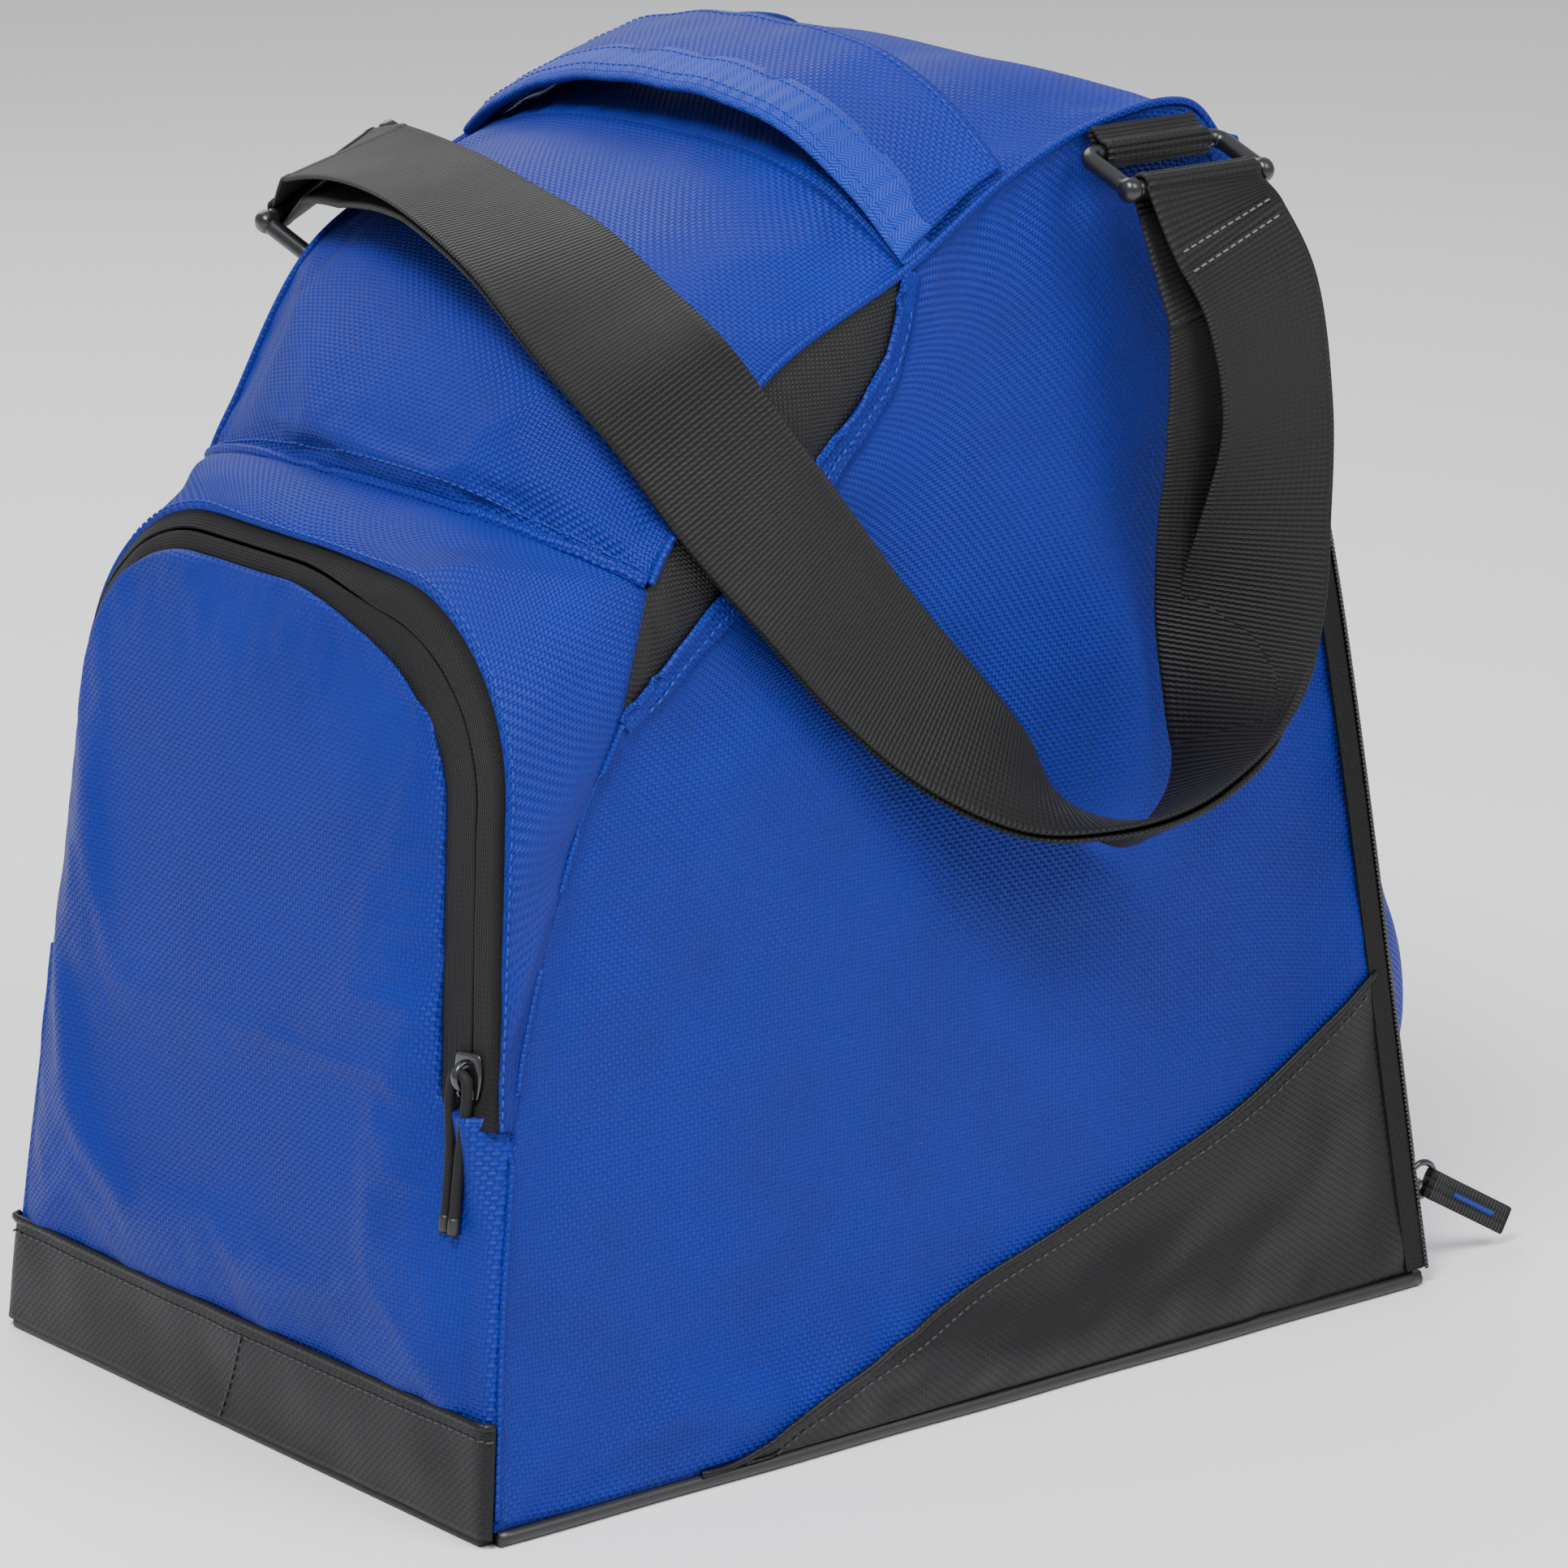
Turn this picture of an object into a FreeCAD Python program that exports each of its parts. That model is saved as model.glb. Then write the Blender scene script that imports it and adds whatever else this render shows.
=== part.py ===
import FreeCAD, Part
import math
import os

V = FreeCAD.Vector

# Soft ski boot bag. Millimetres. -X is the pocket end, +X the zipped loading end,
# -Y the near side, +Z up. The origin is the middle of the resting face of the base.

# ---- driving dimensions ----
LENGTH = 400.0
WIDTH = 268.0
WALL = 3.0               # padded fabric wall
LINING = 1.5             # single layer of lining
TAPE = 1.2               # zip tape and woven tape
NEAR_LEAN = 0.105        # the near side wall leans in, mm per mm of height
FAR_LEAN = 0.05          # the far side wall stands fuller
FRONT_LEAN = 0.114       # the pocket face leans back, mm per mm of height
STRIP_HEIGHT = 36.0      # coated strip along the foot of the pocket end
FLAP_HINGE_Z = 132.0     # where the pocket zip's legs end
POCKET_TOP = 283.0
POCKET_CORNER = 65.0     # radius of the pocket's arch
YOKE_RUN = 68.0          # behind the face, the yoke rises and its corners square up over this length
YOKE_RISE = 34.0
YOKE_SQUARING = 31.0
LOAD_CORNER = 34.0       # radius of the loading flap's upper corners
ZIP_HALF = 14.0          # from a zip's centre line to its tape's outer edge
ZIP_GAP = 1.0            # half the gap that the slider's post runs in
COIL_RADIUS = 1.0
PIPING_RADIUS = 2.4
BASE_THICK = 3.0
BASE_INSET = 3.0
WEBBING_WIDTH = 48.0
WEBBING_THICK = 1.6
STRAP_RING_BAR = 3.0     # radius of the plastic rings' bars
CROWN_POWER = 3.2        # how square the crown of the upper panels is
CORD_RADIUS = 1.75
BOARD_GAP = 8.0          # from the base's edge to the stiffening board
BOARD_THICK = 2.5
PIPING_END = 5.0         # the piping stops short of the base's corners
SEAM_GAP = 0.3           # between the yoke and the upper panel
CUTTER_BELOW = 60.0      # reach of the block that trims the yoke along the chest seam
CUTTER_ABOVE = 30.0
CUTTER_RUN = 80.0

# ---- outline of the walls in the XZ plane ----
# The seam from the base up the pocket's side to the vent, in the side planes.
POCKET_SEAM = [(-196.6, 3), (-189.5, 60), (-184, 95), (-173, 150), (-149, 209), (-126, 245), (-111, 286)]
VENT_REAR = {
    "near": [(-82, 279), (-41, 314), (-13, 341)],
    "far": [(-88, 282), (-52, 320), (-28, 351)],
}

# Upper panels: (name, near side seam, middle of the bag, far side seam).
STATIONS = [
    ("pocket_seam", (-111, 286), (-136, 302), (-120, 289)),
    ("chest", (-101, 299), (-128, 330), (-111, 305)),
    ("brow", (-62, 342), (-88, 372), (-78, 356)),
    ("handle_front", (-2, 369), (-18, 402), (-18, 384)),
    ("handle_rear", (40, 392), (32, 416), (30, 404)),
    ("crest", (80, 406), (75, 421), (78, 413)),
    ("rear_slope", (118, 409), (115, 412), (118, 410)),
    ("load_corner", (135, 393), (138, 397), (135, 393)),
]
LOAD_KNEE = (172, 265)
LOAD_FOOT = (200, 3)
LOAD_HEAD = (135, 393)
ACROSS = (-1.0, -0.8, -0.4, 0.0, 0.4, 0.8, 1.0)


# ---- helpers ----
def half_width(z, sign=-1):
    """From the middle of the bag to the near (-1) or far (1) wall's outside at height z."""
    lean = NEAR_LEAN if sign < 0 else FAR_LEAN
    return WIDTH / 2 - lean * z


def front_x(z):
    """The pocket face's outside at height z."""
    return -LENGTH / 2 + FRONT_LEAN * z


def save(name, shape):
    shape.exportStep("parts/" + name + ".step")


def face_of(points):
    return Part.Face(Part.makePolygon(points + [points[0]]))


def prism_xz(outline, y_low, y_high):
    """A prism along Y of an outline of (x, z) points."""
    face = face_of([V(x, y_low, z) for x, z in outline])
    return face.extrude(V(0, y_high - y_low, 0))


def prism_yz(outline, x_low, x_high):
    """A prism along X of an outline of (y, z) points."""
    face = face_of([V(x_low, y, z) for y, z in outline])
    return face.extrude(V(x_high - x_low, 0, 0))


def loft(sections):
    """A solid through closed polygons of the same number of points, with straight rulings."""
    wires = [Part.makePolygon(points + [points[0]]) for points in sections]
    return Part.makeLoft(wires, True, True)


def faceted(sections):
    """A solid through four-cornered sections, skinned with flat triangles, opposite faces split alike."""
    faces = [face_of(sections[0]), face_of(sections[-1])]
    for here, there in zip(sections, sections[1:]):
        for i in range(4):
            j = (i + 1) % 4
            near, far = (i, j) if i < 2 else (j, i)
            faces.append(face_of([here[i], here[j], there[far]]))
            faces.append(face_of([here[near], there[i], there[j]]))
    skin = Part.makeShell(faces)
    skin.sewShape()
    return Part.makeSolid(skin.Shells[0])


def rod(start, end, radius):
    return Part.makeCylinder(radius, (end - start).Length, start, end - start)


def offset_line(points, distance):
    """An open line of (x, z) points moved to its right-hand side, with mitred corners."""
    moved = []
    for i, (x, z) in enumerate(points):
        before = points[max(i - 1, 0)]
        after = points[min(i + 1, len(points) - 1)]
        normals = []
        for (x0, z0), (x1, z1) in ((before, (x, z)), ((x, z), after)):
            run = math.hypot(x1 - x0, z1 - z0)
            if run > 0:
                normals.append(((z1 - z0) / run, -(x1 - x0) / run))
        nx = sum(n[0] for n in normals) / len(normals)
        nz = sum(n[1] for n in normals) / len(normals)
        square = nx * nx + nz * nz
        moved.append((x + nx / square * distance, z + nz / square * distance))
    return moved


def arch(inset, bottom, top, corner, steps=5):
    """A closed (y, z) outline: two legs that follow the side walls, and a top with round corners."""
    spring = top - corner
    radius = corner - inset
    legs = []
    for sign in (1, -1):
        reach = half_width(spring, sign) - inset
        leg = [(sign * (half_width(bottom, sign) - inset), bottom)]
        for i in range(steps + 1):
            angle = math.pi / 2 * i / steps
            y = reach - radius + radius * math.cos(angle)
            leg.append((sign * y, spring + radius * math.sin(angle)))
        legs.append(leg)
    return legs[0] + legs[1][::-1]


def arch_band(slab, outer, inner, bottom, top, corner):
    """The part of a slab between two arches, open at the foot."""
    keep = prism_yz(arch(outer, bottom, top, corner), -300, 300)
    drop = prism_yz(arch(inner, bottom - 50, top, corner), -300, 300)
    return slab.common(keep).cut(drop)


def closed_loop(centre, along, across, length, depth, corner, radius):
    """A ring of round bar: a rectangle with round corners, in the plane of two unit vectors."""
    a, b = length / 2, depth / 2

    def at(u, v):
        return centre + along * u + across * v

    def bend(su, sv, from_side):
        u, v = su * a, sv * b
        ends = [at(u, v - sv * corner), at(u - su * corner, v)]
        if not from_side:
            ends.reverse()
        k = corner * (1 - math.sqrt(0.5))
        return Part.Arc(ends[0], at(u - su * k, v - sv * k), ends[1]).toShape()

    edges = [
        Part.LineSegment(at(a, 0), at(a, b - corner)).toShape(),
        bend(1, 1, True),
        Part.LineSegment(at(a - corner, b), at(-a + corner, b)).toShape(),
        bend(-1, 1, False),
        Part.LineSegment(at(-a, b - corner), at(-a, -b + corner)).toShape(),
        bend(-1, -1, True),
        Part.LineSegment(at(-a + corner, -b), at(a - corner, -b)).toShape(),
        bend(1, -1, False),
        Part.LineSegment(at(a, -b + corner), at(a, 0)).toShape(),
    ]
    path = Part.Wire(edges)
    section = Part.Wire(Part.Circle(at(a, 0), across, radius).toShape())
    return path.makePipeShell([section], True, True)


# ---- base ----
def make_base():
    edge = WIDTH / 2 - BASE_INSET
    panel = Part.makeBox(LENGTH, 2 * edge, BASE_THICK, V(-LENGTH / 2, -edge, 0))
    save("base_panel", panel)
    board = Part.makeBox(
        LENGTH - 2 * BOARD_GAP,
        2 * (edge - BOARD_GAP),
        BOARD_THICK,
        V(-LENGTH / 2 + BOARD_GAP, -(edge - BOARD_GAP), BASE_THICK),
    )
    save("base_stiffener", board)
    for name, sign in (("near", -1), ("far", 1)):
        y = sign * (WIDTH / 2 - 0.5)
        start = V(-LENGTH / 2 + PIPING_END, y, PIPING_RADIUS)
        end = V(LENGTH / 2 - PIPING_END, y, PIPING_RADIUS)
        save("base_piping_" + name, rod(start, end, PIPING_RADIUS))


# ---- pocket end ----
def front_slab(front, back):
    """The slab between two depths behind the pocket face."""
    z_low, z_high = 3.0, 300.0
    outline = [
        (front_x(z_low) + front, z_low),
        (front_x(z_high) + front, z_high),
        (front_x(z_high) + back, z_high),
        (front_x(z_low) + back, z_low),
    ]
    return prism_xz(outline, -WIDTH, WIDTH)


def nose_solid(inset, front_depth, rear_x):
    """The pocket end as a block: arches at the face and at rear_x, joined by straight rulings."""
    share = (rear_x - front_x(POCKET_TOP)) / YOKE_RUN
    rear_top = POCKET_TOP + YOKE_RISE * share
    rear_corner = POCKET_CORNER - YOKE_SQUARING * share
    face = [V(front_x(z) + front_depth, y, z) for y, z in arch(inset, 3.0, POCKET_TOP, POCKET_CORNER)]
    rear = [V(rear_x, y, z) for y, z in arch(inset, 3.0, rear_top, rear_corner)]
    return loft([face, rear])


def ahead_of_seam():
    """Everything on the pocket's side of the seams in the side planes."""
    top = 340
    halves = []
    for corner, y_low, y_high in ((STATIONS[0][1], -WIDTH, 0), (STATIONS[0][3], 0, WIDTH)):
        seam = POCKET_SEAM[:-1] + [corner, (corner[0], top), (-260, top), (-260, 3)]
        halves.append(prism_xz(seam, y_low, y_high))
    return halves[0].fuse(halves[1])


def behind_chest_seam():
    """The space behind and above the front edge of the upper panels."""
    sections = []
    for t in ACROSS:
        (x, z), side = station_point(0, t)
        y = t * (half_width(side, t) + 3 * WALL)
        x -= SEAM_GAP
        low, high, rear = z - CUTTER_BELOW, z + CUTTER_ABOVE, x + CUTTER_RUN
        sections.append([V(x, y, low), V(x, y, high), V(rear, y, high), V(rear, y, low)])
    return loft(sections)


def make_pocket_end():
    shell = nose_solid(0, 0, -100).cut(nose_solid(WALL, WALL, -90))
    tube = shell.common(ahead_of_seam())
    below_hinge = Part.makeBox(400, 400, FLAP_HINGE_Z - STRIP_HEIGHT, V(-300, -200, STRIP_HEIGHT))
    strip = Part.makeBox(400, 400, STRIP_HEIGHT, V(-300, -200, 0))
    above_hinge = Part.makeBox(400, 400, 300, V(-300, -200, FLAP_HINGE_Z))
    save("front_base_strip", tube.common(strip))
    save("front_lower_panel", tube.common(below_hinge))
    yoke = tube.common(above_hinge).cut([front_slab(-5, WALL), behind_chest_seam()])
    save("pocket_yoke", yoke)

    face = front_slab(0, WALL)
    tape_slab = front_slab(0, TAPE)
    coil_slab = front_slab(TAPE, TAPE + 2 * COIL_RADIUS)
    centre = ZIP_HALF - 2.0
    foot = FLAP_HINGE_Z + 1.0
    flap_tape_foot = FLAP_HINGE_Z + 20.0
    flap = face.common(prism_yz(arch(centre + ZIP_HALF, foot, POCKET_TOP, POCKET_CORNER), -300, 0))
    save("pocket_flap", flap)
    save("pocket_zip_body_tape", arch_band(tape_slab, 0.3, centre - ZIP_GAP, foot, POCKET_TOP, POCKET_CORNER))
    flap_tape = arch_band(
        tape_slab, centre + ZIP_GAP, centre + ZIP_HALF, flap_tape_foot, POCKET_TOP, POCKET_CORNER
    )
    save("pocket_zip_flap_tape", flap_tape)
    for name, outer in (("body", centre - ZIP_GAP - 2), ("flap", centre + ZIP_GAP)):
        low = foot if name == "body" else flap_tape_foot
        coil = arch_band(coil_slab, outer, outer + 2, low, POCKET_TOP, POCKET_CORNER)
        save("pocket_zip_" + name + "_coil", coil)

    back_wall = [(-188, 8), (-134, 284), (-134 + LINING, 284), (-188 + LINING, 8)]
    wall = prism_xz(back_wall, -WIDTH, WIDTH)
    save("pocket_back_wall", wall.common(nose_solid(WALL + 1, 0, -90)))


# ---- upper panels ----
def station_point(index, t):
    """Outside (x, z) of a station at t of the half width, -1 near and 1 far."""
    _, near, middle, far = STATIONS[index]
    side = near if t < 0 else far
    crown = 1 - abs(t) ** CROWN_POWER
    x = side[0] + (middle[0] - side[0]) * crown
    z = side[1] + (middle[1] - side[1]) * crown
    return (x, z), side[1]


def upper_panel(first, last, depth=WALL):
    sections = []
    for t in ACROSS:
        line = [station_point(i, t)[0] for i in range(len(STATIONS))]
        sides = [station_point(i, t)[1] for i in range(len(STATIONS))]
        inner = offset_line(line, depth)
        points = []
        for i in range(first, last + 1):
            x, z = line[i]
            points.append(V(x, t * (half_width(sides[i], t) - WALL), z))
        for i in range(last, first - 1, -1):
            x, z = inner[i]
            height = sides[i] + z - line[i][1]
            points.append(V(x, t * (half_width(height, t) - WALL), z))
        sections.append(points)
    return loft(sections)


def make_upper_panels():
    save("front_upper_panel", upper_panel(0, 3))
    save("top_panel", upper_panel(3, 7))


# ---- side walls ----
def side_plate(outline, sign, outside=0.0, thickness=WALL):
    """A plate in a side plane, from an outline of (x, z) points."""
    points = [V(x, sign * (half_width(z, sign) + outside), z) for x, z in outline]
    return face_of(points).extrude(V(0, -sign * thickness, 0))


def make_sides():
    foot = 2 * PIPING_RADIUS + 0.2
    guard_line = [(-116, foot), (-96, 7), (-60, 22), (4, 43), (70, 62), (139, 85), (188.5, 111)]
    for name, sign, column in (("near", -1, 1), ("far", 1, 3)):
        seam = POCKET_SEAM[1:]
        stations = [s[column] for s in STATIONS]
        upper = stations[3:]
        vent_rear = VENT_REAR[name] + [stations[3]]
        panel = [(-196.3, foot)] + seam[:-1] + vent_rear + upper[1:]
        panel += [LOAD_KNEE] + list(reversed(guard_line))
        save("side_panel_" + name, side_plate(panel, sign))
        guard = guard_line[1:] + [(LOAD_FOOT[0] - 0.3, foot), (guard_line[0][0], foot)]
        save("lower_guard_" + name, side_plate(guard, sign))
        vent = [POCKET_SEAM[-2]] + stations[:4] + list(reversed(VENT_REAR[name]))
        save("vent_mesh_" + name, side_plate(vent, sign, -0.6, LINING))


# ---- loading flap ----
def load_slab(front, back):
    """The slab between two depths inside the loading end's outside face."""
    line = [LOAD_FOOT, LOAD_KNEE, LOAD_HEAD]
    outer = offset_line(line, -front)
    inner = offset_line(line, -back)
    return prism_xz(outer + list(reversed(inner)), -WIDTH, WIDTH)


def make_loading_end():
    centre = 9.0
    foot = 6.0
    flap_tape_foot = 44.0
    top = LOAD_HEAD[1] - 1.0
    face = load_slab(0, WALL)
    tape_slab = load_slab(0, TAPE)
    coil_slab = load_slab(TAPE, TAPE + 2 * COIL_RADIUS)
    flap = face.common(prism_yz(arch(centre + ZIP_HALF, foot, top, LOAD_CORNER), -300, 300))
    save("back_flap", flap)
    edge = WALL + 0.2
    whole = tape_slab.common(prism_yz(arch(edge, foot, top, edge + 2), -300, 300))
    opening = prism_yz(arch(centre - ZIP_GAP, 0, top, LOAD_CORNER), -300, 300)
    save("back_zip_body_tape", whole.cut(opening))
    flap_tape = arch_band(tape_slab, centre + ZIP_GAP, centre + ZIP_HALF, flap_tape_foot, top, LOAD_CORNER)
    save("back_zip_flap_tape", flap_tape)
    for name, outer in (("body", centre - ZIP_GAP - 2), ("flap", centre + ZIP_GAP)):
        low = foot if name == "body" else flap_tape_foot
        coil = arch_band(coil_slab, outer, outer + 2, low, top, LOAD_CORNER)
        save("back_zip_" + name + "_coil", coil)


# ---- zip sliders and pulls ----
class Frame:
    """A place with three unit axes: up the zip, across it, and out of its face."""

    def __init__(self, origin, up, out):
        self.origin = origin
        self.up = up.normalize()
        self.out = out.normalize()
        self.side = self.up.cross(self.out)

    def at(self, side, up, out):
        return self.origin + self.side * side + self.up * up + self.out * out

    def box(self, side, up, out):
        """A box from (low, high) pairs along the three axes."""
        size = [high - low for low, high in (side, up, out)]
        block = Part.makeBox(*size, V(side[0], up[0], out[0]))
        s, u, o, p = self.side, self.up, self.out, self.origin
        block.transformShape(FreeCAD.Matrix(s.x, u.x, o.x, p.x, s.y, u.y, o.y, p.y, s.z, u.z, o.z, p.z, 0, 0, 0, 1))
        return block


def slider_body(frame, half, length, bridge_along):
    """Two plates, the post between them, and the bridge that the pull goes through."""
    clear = 0.4
    plate = 1.5
    depth = TAPE + 2 * COIL_RADIUS + clear
    outer = frame.box((-half, half), (-length / 2, length / 2), (clear, clear + plate))
    inner = frame.box((-half, half), (-length / 2, length / 2), (-depth - plate, -depth))
    post = frame.box((-0.6, 0.6), (length / 2 - 3, length / 2), (-depth - 0.5, clear + 0.5))
    low = clear + plate - 0.5
    span = 5.0
    hole = 2.8
    if bridge_along:
        block = frame.box((-1.6, 1.6), (-span, span), (low, low + 6))
        gap = frame.box((-3, 3), (-hole, hole), (low + 0.5, low + 4.7))
    else:
        block = frame.box((-span, span), (-1.6, 1.6), (low, low + 6))
        gap = frame.box((-hole, hole), (-3, 3), (low + 0.5, low + 4.7))
    return outer.fuse([inner, post, block.cut(gap)])


def rounded_route(points):
    """Straight runs joined by tangent arcs, each as large as its two runs allow."""
    edges = []
    start = points[0]
    radii = []
    for before, corner, after in zip(points, points[1:], points[2:]):
        back = before - corner
        ahead = after - corner
        shorter = min(back.Length, ahead.Length)
        turn = math.pi - back.getAngle(ahead)
        reach = 0.45 * shorter
        radii.append(reach / math.tan(turn / 2))
        entry = corner + back.normalize() * reach
        leave = corner + ahead.normalize() * reach
        bisector = (entry + leave) * 0.5 - corner
        centre = corner + bisector.normalize() * (radii[-1] / math.cos(turn / 2))
        middle = centre + (corner - centre).normalize() * radii[-1]
        edges.append(Part.LineSegment(start, entry).toShape())
        edges.append(Part.Arc(entry, middle, leave).toShape())
        start = leave
    edges.append(Part.LineSegment(start, points[-1]).toShape())
    return Part.Wire(edges), radii


def make_pocket_slider():
    z = FLAP_HINGE_Z + 11.0
    y = -(half_width(z) - (ZIP_HALF - 2.0))
    frame = Frame(V(front_x(z), y, z), V(FRONT_LEAN, NEAR_LEAN, 1), V(-1, 0, FRONT_LEAN))
    save("pocket_slider", slider_body(frame, 5.5, 13.0, True))
    hang = Frame(frame.at(0, 0, 0), V(FRONT_LEAN, 0, 1), V(-1, 0, FRONT_LEAN))
    strand = [(1.95, -48, 3.6), (1.95, -34.5, 3.2), (2.2, -20.5, 3.1), (4.4, -9, 3.9), (4.4, 0.1, 4.0)]
    route = [hang.at(-s, u, o) for s, u, o in strand]
    route += [hang.at(s, u, o) for s, u, o in reversed(strand)]
    path, radii = rounded_route(route)
    tangent = (route[1] - route[0]).normalize()
    section = Part.Wire(Part.Circle(route[0], tangent, CORD_RADIUS).toShape())
    cord = path.makePipeShell([section], True, True)
    save("pocket_pull_cord", cord)
    print("pull cord radii", [round(r, 1) for r in radii], "length", round(path.Length, 1))
    print("pull cord volume ratio", cord.Volume / (path.Length * math.pi * CORD_RADIUS**2))
    print("pull cord route", [tuple(round(c, 2) for c in p) for p in route])
    print("pocket slider origin", frame.origin, "up", frame.up, "bridge", frame.at(0, 0, 4))


def make_main_slider():
    z = 31.0
    slope = (LOAD_KNEE[0] - LOAD_FOOT[0]) / (LOAD_KNEE[1] - LOAD_FOOT[1])
    x = LOAD_FOOT[0] + slope * (z - LOAD_FOOT[1])
    y = -(half_width(z) - 9.0)
    frame = Frame(V(x, y, z), V(slope, NEAR_LEAN, 1), V(1, 0, -slope))
    save("main_slider", slider_body(frame, 5.2, 14.0, False))
    ring_radius = 6.0
    wire = 1.1
    hinge = frame.at(0, 0, 4.2 + ring_radius)
    across = V(0, 1, 0)
    save("main_pull_ring", Part.makeTorus(ring_radius, wire, hinge, across))
    droop = math.radians(30)
    tab = Frame(hinge, V(math.cos(droop), 0, -math.sin(droop)), V(0, -1, 0))
    webbing = tab.box((-5.0, 5.0), (ring_radius - 2.6, 48.0), (-1.6, 1.6))
    channel = Part.makeTorus(ring_radius, wire + 0.1, hinge, across)
    save("main_pull_tab", webbing.cut(channel))
    print("main slider origin", frame.origin, "up", frame.up, "pull hinge", hinge)


# ---- handle ----
HANDLE_LIFT = 11.0
BAND_THICK = 4.0
BINDING_WIDTH = 14.0
BINDING_THICK = 0.9


def handle_section(t, lift_low, lift_high, front_share, rear_share):
    """A closed section of the carrying band, between two heights above the top panel."""
    (x0, z0), side0 = station_point(3, t)
    (x1, z1), side1 = station_point(4, t)
    gap = 0.8 + HANDLE_LIFT * (1 - abs(t) ** 2.5)
    corners = []
    for share, lift in (
        (front_share, lift_low), (rear_share, lift_low), (rear_share, lift_high), (front_share, lift_high)
    ):
        x = x0 + (x1 - x0) * share
        z = z0 + (z1 - z0) * share + gap + lift
        side = side0 + (side1 - side0) * share
        corners.append(V(x, t * (half_width(side, t) - WALL), z))
    return corners


def make_handle():
    band = [handle_section(t, 0, BAND_THICK, 0, 1) for t in ACROSS]
    save("handle_band", loft(band))
    share = BINDING_WIDTH / 46.0
    top = BAND_THICK + BINDING_THICK
    binding = [handle_section(t, BAND_THICK, top, -0.02, share) for t in ACROSS]
    save("handle_binding", loft(binding))


# ---- shoulder strap ----
RING_LENGTH = 57.0
RING_DEPTH = 23.0
RING_CORNER = 4.4
NEAR_RING = (V(97, -110.5, 394), V(1, 0, 0), V(0, -0.94, -0.342))
FAR_RING = (V(-52, 132.5, 366), V(0.90, 0, 0.436), V(-0.21, 0.875, 0.434))
NEAR_SEAM = V(97, -95.5, 403.5)
FAR_SEAM = V(-46, 123.5, 354.5)

# Middle of the outer layer of webbing and the direction across it, from the far ring to the near one.
STRAP = [
    ((-61, 138, 381), (-0.92, 0.05, -0.39)),
    ((-70, 96, 386), (-0.97, 0.16, -0.20)),
    ((-80, 56, 388), (-0.98, 0.18, -0.10)),
    ((-90, 15, 386), (-0.98, 0.17, -0.08)),
    ((-98, -30, 378), (-0.96, 0.18, -0.22)),
    ((-100, -64, 362), (-0.89, 0.23, -0.40)),
    ((-98, -98, 342), (-0.75, 0.33, -0.58)),
    ((-83, -113, 313), (-0.73, 0.28, -0.62)),
    ((-59, -118, 283), (-0.76, 0.04, -0.65)),
    ((-34, -118, 255), (-0.73, -0.10, -0.68)),
    ((-8, -122, 229), (-0.70, -0.30, -0.65)),
    ((16, -132, 208), (-0.63, -0.65, -0.42)),
    ((36, -141, 195), (-0.38, -0.92, 0.08)),
    ((60, -148, 190), (-0.18, -0.88, 0.43)),
    ((83, -147, 201), (-0.07, -0.92, 0.38)),
    ((98, -141, 219), (0.25, -0.96, 0.12)),
    ((109, -136, 245), (0.70, -0.70, -0.10)),
    ((114, -138, 277), (0.95, -0.27, -0.11)),
    ((117, -140, 314), (1, 0, 0)),
    ((119, -134, 370), (1, 0, 0)),
    ((106, -127, 391), (1, 0, 0)),
]
INNER_RUN = (1, 19)
LAYER_GAP = {16: 3.5, 17: 4.5, 18: 6.0, 19: 6.0}   # the inner layer hangs clear near the ring


def unit(values):
    return V(*values).normalize()


def square_to(direction, axis):
    """The unit vector nearest to a direction that stands square to a unit axis."""
    return (direction - axis * direction.dot(axis)).normalize()


def ribbon(stations, first, last, offset, thickness):
    """A band of webbing through stations, moved off its middle by an offset for each station."""
    sections = []
    for i in range(first, last + 1):
        centre = V(*stations[i][0])
        before = V(*stations[max(i - 1, 0)][0])
        after = V(*stations[min(i + 1, len(stations) - 1)][0])
        along = (after - before).normalize()
        across = square_to(unit(stations[i][1]), along)
        out = along.cross(across)
        middle = centre + out * offset(i)
        half = WEBBING_WIDTH / 2
        sections.append(
            [
                middle + across * half + out * thickness / 2,
                middle - across * half + out * thickness / 2,
                middle - across * half - out * thickness / 2,
                middle + across * half - out * thickness / 2,
            ]
        )
    return faceted(sections)


def tube_around(centre, along, length, inner, outer):
    start = centre - along * (length / 2)
    end = centre + along * (length / 2)
    return rod(start, end, outer).cut(rod(start - along, end + along, inner))


def slab_between(start, end, along, width, thickness):
    """A flat strip of webbing from start to end, with its width along a unit vector."""
    run = (end - start).normalize()
    out = along.cross(run).normalize()
    half = along * (width / 2)
    rise = out * (thickness / 2)
    face = face_of([start + half + rise, start - half + rise, start - half - rise, start + half - rise])
    return face.extrude(end - start)


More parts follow.
